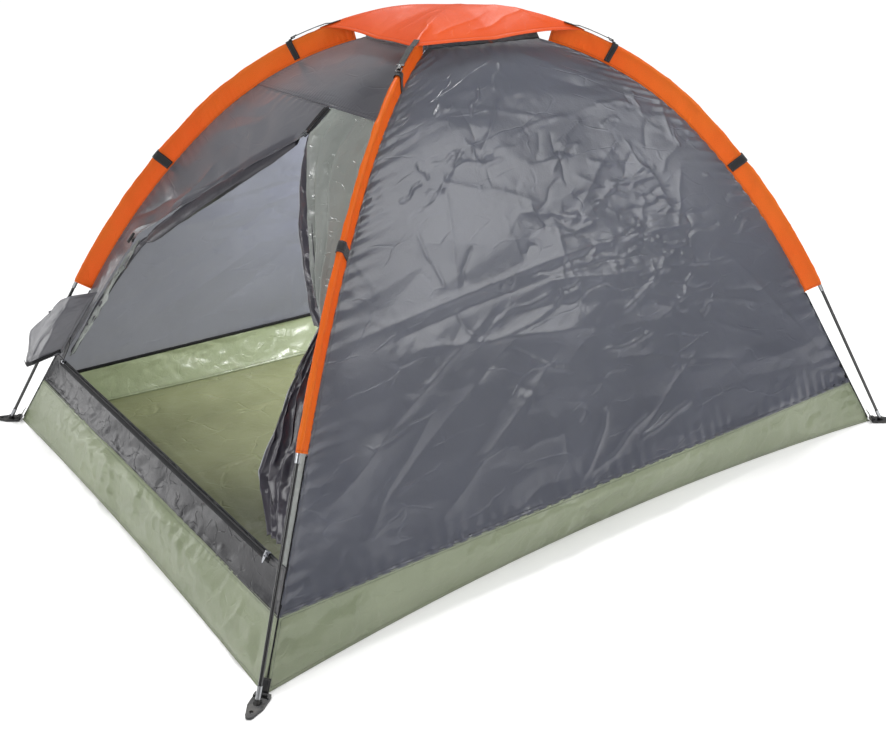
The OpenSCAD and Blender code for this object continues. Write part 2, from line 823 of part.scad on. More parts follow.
leaf_l = 62;
leaf_w = 19;
module pull_left()
    color(black)
        at_threshold(slider_left_x, coil_out + pivot_out)
            translate([0, 0, -zip_drop])
                rotate([180, 0, 0])
                    pull(leaf_l, leaf_w, 2, 10);
module pull_right()
    color(steel_grey)
        at_threshold(slider_right_x, coil_out + pivot_out)
            translate([0, 0, -zip_drop])
                small_pull();

// ---- door flaps -----------------------------------------------------------------------------------

// Left flap, rolled along the upper left edge of the opening, inside the wall.
roll_gap = 1;
module flap_left_roll()
    color(dark_grey)
        intersection() {
            end_panel(threshold_h, door_seam_h, -cloth - roll_gap, roll_depth, seam_gap + roll_depth);
            front_cut([
                left_mid + [2, 0], tie_point + [-30, 4], door_apex + [-34, 6],
                door_apex + [-14, -22], tie_point + [34, -34], left_mid + [22, -10]
            ]);
        }

// Loop of tape at the tie, with a bracket that the toggle lies across.
tie_tape = 8;
tie_len = 30;
tie_low = 16;
bracket = [4, 6];
module at_tie(out = 0)
    translate(front_point(tie_point, 0))
        rotate([-atan2(front_y(tie_h + 5) - front_y(tie_h - 5), 10), 0, 0])
            translate([0, -out, 0])
                children();
module tie_loop()
    color(black)
        at_tie(1) {
            translate([bracket[0] - tie_len, -web_t, -tie_low])
                cube([tie_len, web_t, tie_tape]);
            translate([0, -bracket[1] - web_t, -tie_low])
                cube([bracket[0], bracket[1], tie_tape]);
        }

// Toggle: a short bar through the loop.
toggle_d = 7;
toggle_l = 30;
toggle_play = 0.8;
toggle_out = 1 + bracket[1] + web_t + toggle_play + toggle_d / 2;
module tie_toggle()
    color(black)
        at_tie(toggle_out)
            translate([bracket[0] / 2, 0, tie_tape / 2 - tie_low])
                rotate([0, 20, 0])
                    cylinder(h = toggle_l, d = toggle_d, center = true);

// Right of the upright zip the wall narrows to a neck at the near sleeve, where the door gathers.
flap_gap = 3.5;
neck_h = 612;
neck_w = 46;
neck = [in_from_seam(neck_h, neck_w), neck_h];
gusset_high = door_seam_h - 4;
gusset_edge = [door_apex + [4, 34], door_apex, door_apex + [212, -158], neck];
function sewn_side(levels) = [for (z = levels) [in_from_seam(z, strip_w + flap_gap), z]];
module front_gusset()
    color(wall_grey)
        intersection() {
            end_panel(neck_h, gusset_high, 0, cloth, seam_gap);
            front_cut(concat(gusset_edge, sewn_side([neck_h, 680, 780, 860, 920, gusset_high])));
        }

// Right flap, gathered and hanging below the neck, its free edge given as [height, width there].
flap_low = threshold_h + 20;
flap_high = neck_h - seam_space;
flap_widths = [[flap_high, neck_w], [476, 120], [314, 150], [flap_low, 60]];
flap_edge = [for (q = flap_widths) [in_from_seam(q[0], q[1]), q[0]]];
flap_levels = [flap_low, sleeve_end_h, 560, flap_high];
module flap_right()
    color(wall_grey)
        intersection() {
            end_panel(flap_low, flap_high, 0, flap_depth, seam_gap);
            front_cut(concat(flap_edge, sewn_side(flap_levels)));
        }

// Zip tapes on the inner face, along the gusset's free edge and along the flap's.
hem_w = 9;
hem_gap = 0.8;
module edge_tape(edge, high, depth)
    color(black)
        intersection() {
            end_panel(flap_low, high, -depth - hem_gap, cloth, seam_gap);
            front_cut(concat(edge, [for (i = [len(edge) - 1:-1:0]) edge[i] + [hem_w, 0]]));
        }
module gusset_hem() edge_tape([for (i = [1:3]) gusset_edge[i]], door_top_h - 2 * hem_w, cloth);
module flap_right_hem() edge_tape([for (i = [0:2]) flap_edge[i]], flap_high - 2, flap_depth);

// Left flap's loose tail, folded out over the pole.
tail_out = 13;
function leg_point(z) =
    let (r = half_diag - (z - pole_end_h) / tan(leg_slope))
    [-r * share_x, -r * share_y, z];
// A point out of the front wall's corner, x along the wall and y outward of it.
function beside_leg(z, dx, dy) = leg_point(z) + [dx, dy, 0];
tail_grid = [
    [front_point([-door_half - 8, threshold_h + 14], 4), front_point([33 - door_half, threshold_h + 109], 4),
        front_point(left_mid + [-14, -14], 4)],
    [beside_leg(threshold_h - 20, 26, -tail_out - 6), beside_leg(threshold_h + 89, 30, -tail_out - 3),
        beside_leg(395, 30, -tail_out)],
    [beside_leg(threshold_h - 40, -6, -tail_out - 7), beside_leg(threshold_h + 69, -16, -tail_out - 8),
        beside_leg(372, -10, -tail_out - 2)],
    [beside_leg(threshold_h - 36, -24, -tail_out - 8), beside_leg(threshold_h + 51, -76, -tail_out - 18),
        beside_leg(330, -34, -tail_out - 8)]
];
module flap_tail() color(wall_grey) sheet(tail_grid, cloth);

// Dark tape along the tail's lower outer edge, on its outer face.
module tail_hem()
    color(dark_grey)
        sheet(
            [for (i = [1:3])
                [for (k = [0, 0.12])
                    let (p = tail_grid[i][0] * (1 - k) + tail_grid[i][1] * k)
                    p + [0, -cloth - 0.6, 0]]],
            cloth
        );

// ---- cap ------------------------------------------------------------------------------------------

cap_steps = 12;
// Half the poles' height difference lifts the cap along one diagonal and lowers it along the other.
function cap_point(u, v) =
    let (
        s = max(abs(u), abs(v)),
        low = min(abs(u), abs(v)),
        pull_in = s == 0 ? 0 : cap_bow * s * (1 - pow(low / s, 2)),
        k = s == 0 ? 0 : (s - pull_in) / s,
        twist = s == 0 ? 0 : u * v / (s * s) * min(1, 3 * s)
    )
    [
        u * k * cap_r * share_x, v * k * cap_r * share_y,
        roof_z(s * k * cap_r, cap_lift) + cross_gap / 2 * twist
    ];
module cap_cover()
    color(orange)
        sheet([for (u = steps(cap_steps)) [for (v = steps(cap_steps)) cap_point(u, v)]], cloth, true);

// Elastic straps from the cap's corners down to the hooks, above the sleeves.
strap_t = 1.4;
strap_seat = ring_seat + ring_rod + 1.2;
strap_from = cap_turn + 0.1;
hook_back = ring_side + ring_in_l / 2 + ring_rod + 4;
function strap_to(g) = ring_turn - hook_back / g[1] * 180 / PI - 0.15;
module cap_straps()
    color(black)
        for (arm = ARMS)
            on_arm(arm)
                arc_sweep(arch_of(arm), strap_from, strap_to(arch_of(arm)))
                    translate([strap_seat, -strap_w / 2])
                        square([strap_t, strap_w]);

// Hooks whose tips drop into the rings from above.
hook_w = 7;
hook_t = 2.4;
tip_drop = 3;
module cap_hooks()
    color(black)
        for (arm = ARMS)
            on_arm(arm)
                at_turn(arch_of(arm), ring_turn)
                    translate([-hook_back, -hook_w / 2, strap_seat]) {
                        cube([hook_back - ring_side + 2, hook_w, hook_t]);
                        translate([hook_back - ring_side - 1, 0, -tip_drop])
                            cube([3, hook_w, tip_drop + eps]);
                        translate([-1, -(strap_w + 4 - hook_w) / 2, 0])
                            cube([4, strap_w + 4, hook_t]);
                    }

// ---- nodes ----------------------------------------------------------------------------------------

floor_sheet();
tub_front();
tub_right();
tub_rear();
tub_left();
corner_seams();
inner_tapes();
threshold();
front_panel();
front_strip_left();
front_strip_right();
wall_right();
wall_left();
wall_rear();
vent_mesh();
sleeve_near();
sleeve_right();
sleeve_left();
sleeve_far();
guy_bands();
ring_bands();
strap_rings();
pole_a();
pole_b();
ferrules_a();
ferrules_b();
pole_tips();
foot_pins();
feet();
foot_webbings();
threshold_zip();
door_zip();
flap_left_roll();
tie_loop();
cap_cover();
cap_straps();
cap_hooks();
slider_top();
pull_top();
slider_left();
pull_left();
slider_right();
pull_right();
tie_toggle();
front_gusset();
gusset_hem();
flap_right();
flap_right_hem();
flap_tail();
tail_hem();
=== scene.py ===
"""Looks of a small dome tent: cloth, webbing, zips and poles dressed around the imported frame."""

import logging
import math
from dataclasses import dataclass, field, replace
from enum import Enum
from typing import Callable, Sequence

import bpy
import numpy as np
from mathutils import Matrix, Vector


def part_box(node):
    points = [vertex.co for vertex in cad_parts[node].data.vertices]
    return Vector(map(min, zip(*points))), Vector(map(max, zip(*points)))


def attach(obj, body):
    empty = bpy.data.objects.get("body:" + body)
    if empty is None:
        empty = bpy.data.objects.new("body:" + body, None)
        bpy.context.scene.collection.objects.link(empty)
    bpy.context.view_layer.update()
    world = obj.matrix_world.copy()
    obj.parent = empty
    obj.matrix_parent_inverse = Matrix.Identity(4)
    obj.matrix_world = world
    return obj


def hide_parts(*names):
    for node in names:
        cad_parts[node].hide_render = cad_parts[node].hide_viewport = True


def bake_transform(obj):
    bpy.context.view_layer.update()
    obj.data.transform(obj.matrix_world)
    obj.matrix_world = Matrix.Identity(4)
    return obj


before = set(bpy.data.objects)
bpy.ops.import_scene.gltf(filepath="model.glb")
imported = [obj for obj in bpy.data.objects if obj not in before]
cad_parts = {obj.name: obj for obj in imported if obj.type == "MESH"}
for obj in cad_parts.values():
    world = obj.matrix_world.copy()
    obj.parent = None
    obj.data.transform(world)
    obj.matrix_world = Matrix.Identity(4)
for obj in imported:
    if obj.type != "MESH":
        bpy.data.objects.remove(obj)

LOG = logging.getLogger("tent")
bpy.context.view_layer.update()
Array = np.ndarray
Material = bpy.types.Material
Piece = bpy.types.Object
Socket = bpy.types.NodeSocket


# ---- the tent's geometry ----------------------------------------------------------------------


class Arm(Enum):
    """The four arms of the two poles, as their signs along x and y."""

    NEAR = (1, -1)
    RIGHT = (1, 1)
    LEFT = (-1, -1)
    FAR = (-1, 1)


@dataclass(frozen=True)
class Arch:
    """One pole's middle line: a tight top arc, a wider side arc and a straight leg."""

    peak: float
    top_turn: float
    leg_slope: float
    top_r: float
    side_r: float

    def point(self, turn: Array, off: Array | float = 0.0) -> tuple[Array, Array]:
        """Reach and height at a turn from the crossing.

        Args:
            turn: turn along the arch, in radians.
            off: distance out of the arch, in metres.

        Returns:
            The reach from the tent's axis and the height, in metres.
        """
        turn = np.asarray(turn, float)
        on_top = turn <= self.top_turn
        shift = (self.top_r - self.side_r) * math.sin(self.top_turn)
        centre = self.peak - self.top_r + (self.top_r - self.side_r) * math.cos(self.top_turn)
        reach = np.where(on_top, self.top_r + off, self.side_r + off) * np.sin(turn)
        height = np.where(on_top, self.top_r + off, self.side_r + off) * np.cos(turn)
        return (
            reach + np.where(on_top, 0.0, shift),
            height + np.where(on_top, self.peak - self.top_r, centre),
        )


@dataclass(frozen=True)
class Pitch:
    """Driving sizes of the pitched tent, in metres and radians."""

    span_x: float = 1.500
    span_y: float = 2.050
    peak: float = 1.152
    pole_end: float = 0.012
    leg: float = 0.478
    cross_gap: float = 0.0092
    fin: float = 0.042
    corner_back: float = 0.028
    top_turn: float = math.radians(43)
    leg_slope: float = math.radians(59.9)
    sleeve_start: float = math.radians(16.6)

    @property
    def half_diag(self) -> float:
        """Half of the footprint's diagonal."""
        return math.hypot(self.span_x, self.span_y) / 2

    @property
    def share_x(self) -> float:
        """Cosine of an arm's bearing."""
        return self.span_x / 2 / self.half_diag

    @property
    def share_y(self) -> float:
        """Sine of an arm's bearing."""
        return self.span_y / 2 / self.half_diag

    @property
    def corner_r(self) -> float:
        """Reach of the floor's corners."""
        return self.half_diag - self.corner_back

    def arch(self, lift: float) -> Arch:
        """The arch whose peak stands lift above the two poles' middle."""
        reach = self.half_diag - self.leg * math.cos(self.leg_slope)
        drop = self.peak + lift - self.pole_end - self.leg * math.sin(self.leg_slope)
        a = math.sin(self.top_turn)
        b = math.sin(self.leg_slope) - a
        c = 1 - math.cos(self.top_turn)
        d = math.cos(self.top_turn) - math.cos(self.leg_slope)
        top_r = (reach * d - b * drop) / (a * d - b * c)
        side_r = (a * drop - c * reach) / (a * d - b * c)
        return Arch(self.peak + lift, self.top_turn, self.leg_slope, top_r, side_r)

    def arch_of(self, arm: Arm) -> Arch:
        """The arch that an arm belongs to; one passes under the other."""
        under = arm.value[0] * arm.value[1] < 0
        return self.arch(-self.cross_gap / 2 if under else self.cross_gap / 2)

    def seam_end(self) -> tuple[float, float]:
        """Reach and height where the fins end and the corner seams begin."""
        reach, height = self.arch(0).point(self.leg_slope, -self.fin)
        return float(reach), float(height)

    def seam_r(self, z: Array | float) -> Array:
        """Reach of the walls' corner seam at height z."""
        z = np.asarray(z, float)
        turns = np.linspace(self.leg_slope, 0.05, 400)
        reach, height = self.arch(0).point(turns, -self.fin)
        low_r, low_z = self.seam_end()
        leg = self.corner_r + (low_r - self.corner_r) * z / low_z
        return np.where(z >= low_z, np.interp(z, height, reach), leg)

    def on_arm(self, arm: Arm, reach: Array, across: Array | float, z: Array) -> Array:
        """Points in an arm's plane, moved across it.

        Args:
            arm: the arm.
            reach: distance from the tent's axis along the arm.
            across: distance to the arm's left, seen from the axis.
            z: height.

        Returns:
            Points in the tent's frame.
        """
        ax, ay = arm.value[0] * self.share_x, arm.value[1] * self.share_y
        return np.stack(
            [reach * ax - across * ay, reach * ay + across * ax, z + 0 * np.asarray(reach)], -1
        )


PITCH = Pitch()
TUB_H = 0.127
THRESHOLD_H = 0.211
ROOF_H = float(PITCH.arch(0).point(math.radians(13.8), -PITCH.fin)[1])
SEAM_H = 0.965
WALL_TOP_H = float(PITCH.arch(0).point(PITCH.sleeve_start, -PITCH.fin)[1]) - 0.001
TIE_H = 0.580
NECK_H = 0.612
DOOR_HALF = 0.610
DOOR_TOP_H = 0.911
ZIP_X = 0.059


# ---- random fields --------------------------------------------------------------------------------


def lattice(seed: int) -> Array:
    """A repeatable table of random heights from -1 to 1."""
    return np.random.default_rng(seed).uniform(-1, 1, (256, 256))


def smooth_noise(x: Array, y: Array, seed: int) -> Array:
    """Smooth random heights, one hill to a unit.

    Args:
        x: first coordinate.
        y: second coordinate.
        seed: which table of heights to use.

    Returns:
        Heights from -1 to 1.
    """
    table = lattice(seed)
    i, j = np.floor(x).astype(int), np.floor(y).astype(int)
    fx, fy = x - i, y - j
    fx, fy = fx * fx * (3 - 2 * fx), fy * fy * (3 - 2 * fy)

    def at(di: int, dj: int) -> Array:
        """Table heights at a corner of each cell."""
        return table[(i + di) % 256, (j + dj) % 256]

    low = at(0, 0) * (1 - fx) + at(1, 0) * fx
    high = at(0, 1) * (1 - fx) + at(1, 1) * fx
    return low * (1 - fy) + high * fy


def facet_noise(x: Array, y: Array, seed: int) -> Array:
    """Random heights joined by flat three-sided facets, as in cloth that was packed small.

    Args:
        x: first coordinate.
        y: second coordinate.
        seed: which table of heights to use.

    Returns:
        Heights from -1 to 1, with sharp creases between the facets.
    """
    table = lattice(seed)
    wx = x + 0.45 * smooth_noise(x * 0.8, y * 0.8, seed + 1)
    wy = y + 0.45 * smooth_noise(x * 0.8, y * 0.8, seed + 2)
    skew = (wx + wy) * 0.366
    i, j = np.floor(wx + skew).astype(int), np.floor(wy + skew).astype(int)
    fx, fy = wx + skew - i, wy + skew - j
    corner, middle = table[i % 256, j % 256], table[(i + 1) % 256, (j + 1) % 256]
    side = np.where(fx > fy, table[(i + 1) % 256, j % 256], table[i % 256, (j + 1) % 256])
    big, small = np.maximum(fx, fy), np.minimum(fx, fy)
    return corner * (1 - big) + side * (big - small) + middle * small


@dataclass(frozen=True)
class Fold:
    """One crease across a cloth, from one point to another, in metres along the cloth."""

    start: tuple[float, float]
    end: tuple[float, float]
    height: float = 0.0025
    width: float = 0.010

    def at(self, u: Array, v: Array) -> Array:
        """Height that the crease adds at points of the cloth."""
        (u0, v0), (u1, v1) = self.start, self.end
        du, dv = u1 - u0, v1 - v0
        length = math.hypot(du, dv)
        along = ((u - u0) * du + (v - v0) * dv) / length**2
        bend = 0.012 * smooth_noise(along * 3, 0 * along, int(abs(u0 * 731 + v1 * 977)) % 199)
        off = ((u - u0) * dv - (v - v0) * du) / length + bend * np.clip(along * (1 - along) * 4, 0, 1)
        ends = np.clip(along / 0.12, 0, 1) * np.clip((1 - along) / 0.12, 0, 1)
        return self.height * ends * np.exp(-np.abs(off) / self.width)


@dataclass(frozen=True)
class Wrinkles:
    """How a cloth departs from its smooth shape, each size in metres."""

    seed: int = 1
    sag: float = 0.0
    swell: float = 0.0
    swell_size: float = 0.3
    facet: float = 0.0
    facet_size: float = 0.12
    facet_stretch: float = 1.6
    crumple: float = 0.0
    crumple_size: float = 0.03
    pucker: float = 0.0
    pucker_size: float = 0.03
    pucker_reach: float = 0.05
    folds: tuple[Fold, ...] = ()

    def height(self, u: Array, v: Array, rim: Array, run: Array) -> Array:
        """Height over the smooth cloth.

        Args:
            u: metres along the cloth.
            v: metres up the cloth.
            rim: metres from the nearest sewn edge.
            run: metres along that edge.

        Returns:
            Heights in metres, nothing at the sewn edges.
        """
        free = np.clip(rim / 0.02, 0, 1)
        middle = np.clip(rim / max(float(rim.max()), 1e-6), 0, 1)
        h = -self.sag * middle * (2 - middle)
        h = h + self.swell * free * smooth_noise(u / self.swell_size, v / self.swell_size, self.seed)
        if self.facet:
            fu, fv = u / self.facet_size / self.facet_stretch, v / self.facet_size
            where = 0.35 + 0.65 * np.clip(0.5 + 1.2 * smooth_noise(fu / 3, fv / 3, self.seed + 7), 0, 1)
            h = h + self.facet * where * free * facet_noise(fu, fv, self.seed + 11)
        if self.crumple:
            cu, cv = u / self.crumple_size, v / self.crumple_size
            where = np.clip(0.4 + 1.3 * smooth_noise(cu / 5, cv / 5, self.seed + 13), 0, 1)
            h = h + self.crumple * where * free * facet_noise(cu, cv, self.seed + 17)
        if self.pucker:
            wave = np.sin(
                2 * math.pi * run / self.pucker_size
                + 2.6 * smooth_noise(run / 0.11, run * 0, self.seed + 19)
            )
            strength = np.clip(0.55 + 0.9 * smooth_noise(run / 0.16, run * 0 + 3, self.seed + 23), 0, 1.4)
            near = np.clip(rim / 0.004, 0, 1) * np.exp(-rim / self.pucker_reach)
            h = h + self.pucker * wave * strength * near
        for crease in self.folds:
            h = h + crease.at(u, v) * free
        return h


# ---- sheets ------------------------------------------------------------------------------------------


def grid_normals(points: Array) -> Array:
    """Unit normals of a grid of points, by its own neighbours."""
    normal = np.cross(np.gradient(points, axis=1), np.gradient(points, axis=0))
    return normal / np.maximum(np.linalg.norm(normal, axis=-1, keepdims=True), 1e-12)


def grid_metres(points: Array) -> tuple[Array, Array]:
    """How far each point lies along its row from the row's middle, and up its column."""
    across = np.linalg.norm(np.diff(points, axis=1), axis=-1)
    up = np.linalg.norm(np.diff(points, axis=0), axis=-1)
    u = np.concatenate([np.zeros((points.shape[0], 1)), np.cumsum(across, 1)], 1)
    v = np.concatenate([np.zeros((1, points.shape[1])), np.cumsum(up, 0)], 0)
    return u - u[:, -1:] / 2, v


def grid_rim(points: Array, open_sides: str = "") -> tuple[Array, Array]:
    """Distance to the nearest edge of a grid, and how far along that edge.

    Args:
        points: the grid.
        open_sides: edges that don't count, from the letters l, r, b and t.

    Returns:
        The distance and the run, both in metres.
    """
    u, v = grid_metres(points)
    away = {"l": (u - u[:, :1], v), "r": (u[:, -1:] - u, v), "b": (v, u), "t": (v[-1:, :] - v, u)}
    chosen = [away[s] for s in "lrbt" if s not in open_sides] or [(0 * u + 1.0, v)]
    distance = np.stack([a for a, _ in chosen])
    best = distance.argmin(0)
    run = np.choose(best, [b for _, b in chosen])
    return distance.min(0), run


def mesh_piece(name: str, points: Array, faces: Array, uv: Array | None = None) -> Piece:
    """A smooth-shaded mesh object.

    Args:
        name: the piece's name.
        points: its vertices, one row each.
        faces: vertex numbers of its four-sided faces, one row each.
        uv: metres along and up the cloth for each vertex.

    Returns:
        The new object, linked to the scene.
    """
    mesh = bpy.data.meshes.new(name)
    mesh.vertices.add(len(points))
    mesh.vertices.foreach_set("co", np.asarray(points, np.float32).ravel())
    mesh.loops.add(faces.size)
    mesh.loops.foreach_set("vertex_index", faces.astype(np.int32).ravel())
    mesh.polygons.add(len(faces))
    mesh.polygons.foreach_set("loop_start", np.arange(0, faces.size, faces.shape[1], dtype=np.int32))
    mesh.polygons.foreach_set("use_smooth", np.ones(len(faces), bool))
    if uv is not None:
        layer = mesh.uv_layers.new(name="cloth")
        layer.data.foreach_set("uv", uv[faces.ravel()].astype(np.float32).ravel())
    mesh.update(calc_edges=True)
    mesh.validate()
    piece = bpy.data.objects.new(name, mesh)
    bpy.context.scene.collection.objects.link(piece)
    return piece


def grid_faces(rows: int, columns: int, closed: bool = False) -> Array:
    """Faces of a grid; closed joins the last column to the first."""
    i = np.arange(rows - 1)[:, None] * columns
    j = np.arange(columns if closed else columns - 1)[None, :]
    k = (j + 1) % columns
    quads = np.stack([i + j, i + k, i + columns + k, i + columns + j], -1)
    return quads.reshape(-1, 4)


def lay_sheet(
    name: str,
    points: Array,
    finish: Material,
    wrinkles: Wrinkles = Wrinkles(),
    thickness: float = 0.0008,
    open_sides: str = "",
    hem: float = 0.0,
) -> Piece:
    """Makes a cloth from a grid of points on its smooth shape.

    Args:
        name: the piece's name.
        points: rows of points, the cloth's outer face to the left of rows and columns.
        finish: its material.
        wrinkles: how it departs from the smooth shape.
        thickness: its thickness in metres.
        open_sides: edges that aren't sewn down, from the letters l, r, b and t.
        hem: width of a doubled edge, in metres.

    Returns:
        The cloth as a thin closed sheet.
    """
    u, v = grid_metres(points)
    rim, run = grid_rim(points, open_sides)
    lift = wrinkles.height(u, v, rim, run)
    edge = grid_rim(points)[0]
    if hem:
        lift = lift + 0.0006 * np.clip((hem - edge) / 0.002, 0, 1)
    moved = points + grid_normals(points) * lift[..., None]
    piece = mesh_piece(
        name, moved.reshape(-1, 3), grid_faces(*points.shape[:2]), np.stack([u, v], -1).reshape(-1, 2)
    )
    for label, values in (("rim", edge), ("run", grid_rim(points)[1])):
        attribute = piece.data.attributes.new(label, "FLOAT", "POINT")
        attribute.data.foreach_set("value", values.astype(np.float32).ravel())
    thicken(piece, thickness)
    piece.data.materials.append(finish)
    return piece


def thicken(piece: Piece, thickness: float, offset: float = 0.0) -> None:
    """Gives a sheet its thickness."""
    solid = piece.modifiers.new("thickness", "SOLIDIFY")
    solid.thickness = thickness
    solid.offset = offset
    solid.use_even_offset = False


def tube(
    name: str,
    path: Array,
    radius: Array | float,
    finish: Material,
    sides: int = 10,
    flat: float = 1.0,
) -> Piece:
    """Sweeps a round or oval tube with closed ends along a path.

    Args:
        name: the piece's name.
        path: the points of its middle line.
        radius: its radius, or one radius for each point.
        finish: its material.
        sides: how many sides it has.
        flat: height of the section as a share of its width.

    Returns:
        The tube.
    """
    path = np.asarray(path, float)
    radius = np.broadcast_to(np.asarray(radius, float), len(path))
    along = np.gradient(path, axis=0)
    along /= np.linalg.norm(along, axis=1, keepdims=True)
    side = np.cross(along, np.array([0.0, 0.0, 1.0]) + 1e-4)
    side /= np.linalg.norm(side, axis=1, keepdims=True)
    up = np.cross(side, along)
    angle = np.linspace(0, 2 * math.pi, sides, endpoint=False)
    ring = np.cos(angle)[None, :, None] * side[:, None] + flat * np.sin(angle)[None, :, None] * up[:, None]
    points = (path[:, None] + ring * radius[:, None, None]).reshape(-1, 3)
    rows = len(path)
    body = grid_faces(rows, sides, closed=True)
    caps = np.array([[0, 0, 0, 0]])[:0]
    for centre, first, turn in ((path[0], 0, -1), (path[-1], (rows - 1) * sides, 1)):
        points = np.vstack([points, centre])
        middle = len(points) - 1
        pairs = [(first + i, first + (i + 1) % sides, first + (i + 2) % sides) for i in range(0, sides, 2)]
        fan = [(middle, a, b, c) if turn > 0 else (middle, c, b, a) for a, b, c in pairs]
        caps = np.vstack([caps, fan])
    distance = np.concatenate([[0], np.cumsum(np.linalg.norm(np.diff(path, axis=0), axis=1))])
    uv = np.stack(np.broadcast_arrays(distance[:, None], (angle * radius.mean())[None, :]), -1).reshape(-1, 2)
    uv = np.vstack([uv, uv[:1], uv[-1:]])
    piece = mesh_piece(name, points, np.vstack([body, caps]).astype(int), uv)
    piece.data.materials.append(finish)
    return piece


def fit(piece: Piece, body: str, slot: str, *nodes: str) -> Piece:
    """Rides a piece on its body and hides the CAD nodes that it stands for."""
    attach(piece, body)
    if nodes:
        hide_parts(*nodes)
    LOG.info("%s rides on %s", piece.name, body)
    return piece


# ---- finishes -----------------------------------------------------------------------------------------


class Coords(Enum):
    """What a finish is measured along."""

    CLOTH = "cloth"
    OBJECT = "object"


@dataclass
class Graph:
    """A small helper that adds and joins shader nodes."""

    tree: bpy.types.NodeTree

    def add(self, kind: str, links: dict[str, Socket] | None = None, **values: object) -> bpy.types.Node:
        """Adds a node.

        Args:
            kind: the node's type without its ShaderNode prefix.
            links: sockets to join to its inputs.
            values: node settings, or inputs when no setting has that name.

        Returns:
            The node.
        """
        node = self.tree.nodes.new(kind if kind.startswith("Node") else f"ShaderNode{kind}")
        for key, value in values.items():
            if hasattr(node, key):
                setattr(node, key, value)
            else:
                node.inputs[key.replace("_", " ")].default_value = value
        for key, socket in (links or {}).items():
            self.tree.links.new(socket, node.inputs[key])
        return node

    def math(self, operation: str, a: Socket | float, b: Socket | float = 0.0, clamp: bool = False) -> Socket:
        """Adds a math node on two sockets or numbers."""
        node = self.add("Math", operation=operation, use_clamp=clamp)
        for slot, value in zip(node.inputs, (a, b)):
            if isinstance(value, bpy.types.NodeSocket):
                self.tree.links.new(value, slot)
            else:
                slot.default_value = value
        return node.outputs[0]

    def span(self, value: Socket, low: float, high: float, to_low: float = 0.0, to_high: float = 1.0) -> Socket:
        """Maps a value from one range to another, held at its ends."""
        node = self.add("MapRange", {"Value": value}, interpolation_type="SMOOTHSTEP")
        for key, number in (("From Min", low), ("From Max", high), ("To Min", to_low), ("To Max", to_high)):
            node.inputs[key].default_value = number
        return node.outputs[0]

    def mix(self, share: Socket | float, a: Socket | tuple, b: Socket | tuple) -> Socket:
        """Mixes two colours."""
        node = self.add("Mix", data_type="RGBA")
        for slot, value in zip((node.inputs[0], node.inputs[6], node.inputs[7]), (share, a, b)):
            if isinstance(value, bpy.types.NodeSocket):
                self.tree.links.new(value, slot)
            else:
                slot.default_value = value
        return node.outputs[2]


def new_group(name: str, inputs: dict[str, object], outputs: Sequence[str]) -> tuple[Graph, object, object]:
    """Starts a shader node group.

    Args:
        name: the group's name.
        inputs: input names with their default values; None makes a vector input.
        outputs: names of its value outputs.

    Returns:
        The graph with the group's input and output nodes.
    """
    tree = bpy.data.node_groups.new(name, "ShaderNodeTree")
    for key, value in inputs.items():
        kind = "NodeSocketVector" if value is None else "NodeSocketFloat"
        socket = tree.interface.new_socket(key, in_out="INPUT", socket_type=kind)
        if value is not None:
            socket.default_value = value
    for key in outputs:
        tree.interface.new_socket(key, in_out="OUTPUT", socket_type="NodeSocketFloat")
    graph = Graph(tree)
    return graph, graph.add("NodeGroupInput"), graph.add("NodeGroupOutput")


def crease_group() -> bpy.types.NodeTree:
    """Sharp packing creases: the borders of stretched cells, each up or down, bent by noise."""
    g, given, out = new_group(
        "creases", {"Vector": None, "Scale": 8.0, "Stretch": 1.5, "Share": 0.5}, ["Height", "Line"]
    )
    stretch = g.add("CombineXYZ", Y=1.0, Z=1.0)
    g.tree.links.new(g.math("DIVIDE", 1.0, given.outputs["Stretch"]), stretch.inputs[0])
    placed = g.add("VectorMath", operation="MULTIPLY")
    g.tree.links.new(given.outputs["Vector"], placed.inputs[0])
    g.tree.links.new(stretch.outputs[0], placed.inputs[1])
    bend = g.add("TexNoise", {"Vector": placed.outputs[0], "Scale": given.outputs["Scale"]}, Detail=2.0)
    shifted = g.add("VectorMath", operation="MULTIPLY_ADD")
    g.tree.links.new(bend.outputs["Color"], shifted.inputs[0])
    shifted.inputs[1].default_value = (0.05, 0.05, 0.0)
    g.tree.links.new(placed.outputs[0], shifted.inputs[2])
    cells = g.add(
        "TexVoronoi", {"Vector": shifted.outputs[0], "Scale": given.outputs["Scale"]}, feature="DISTANCE_TO_EDGE"
    )
    where = g.add("TexNoise", {"Vector": shifted.outputs[0], "Scale": given.outputs["Scale"]}, Detail=1.0)
    line = g.span(cells.outputs["Distance"], 0.0, 0.045, 1.0, 0.0)
    kept = g.span(g.math("SUBTRACT", where.outputs["Fac"], given.outputs["Share"]), -0.06, 0.06, 1.0, 0.0)
    sign = g.span(bend.outputs["Fac"], 0.4, 0.6, -1.0, 1.0)
    masked = g.math("MULTIPLY", line, kept)
    g.tree.links.new(masked, out.inputs["Line"])
    g.tree.links.new(g.math("MULTIPLY", masked, sign), out.inputs["Height"])
    return g.tree


def weave_group() -> bpy.types.NodeTree:
    """Plain weave: two crossing sets of yarns, one over the other."""
    g, given, out = new_group("weave", {"Vector": None, "Pitch": 0.002}, ["Height"])
    parts = g.add("SeparateXYZ", {"Vector": given.outputs["Vector"]})
    turn = g.math("DIVIDE", math.pi, given.outputs["Pitch"])
    x, y = (g.math("SINE", g.math("MULTIPLY", parts.outputs[i], turn)) for i in (0, 1))
    g.tree.links.new(g.math("MULTIPLY", g.math("ABSOLUTE", x), g.math("ABSOLUTE", y)), out.inputs["Height"])
    return g.tree


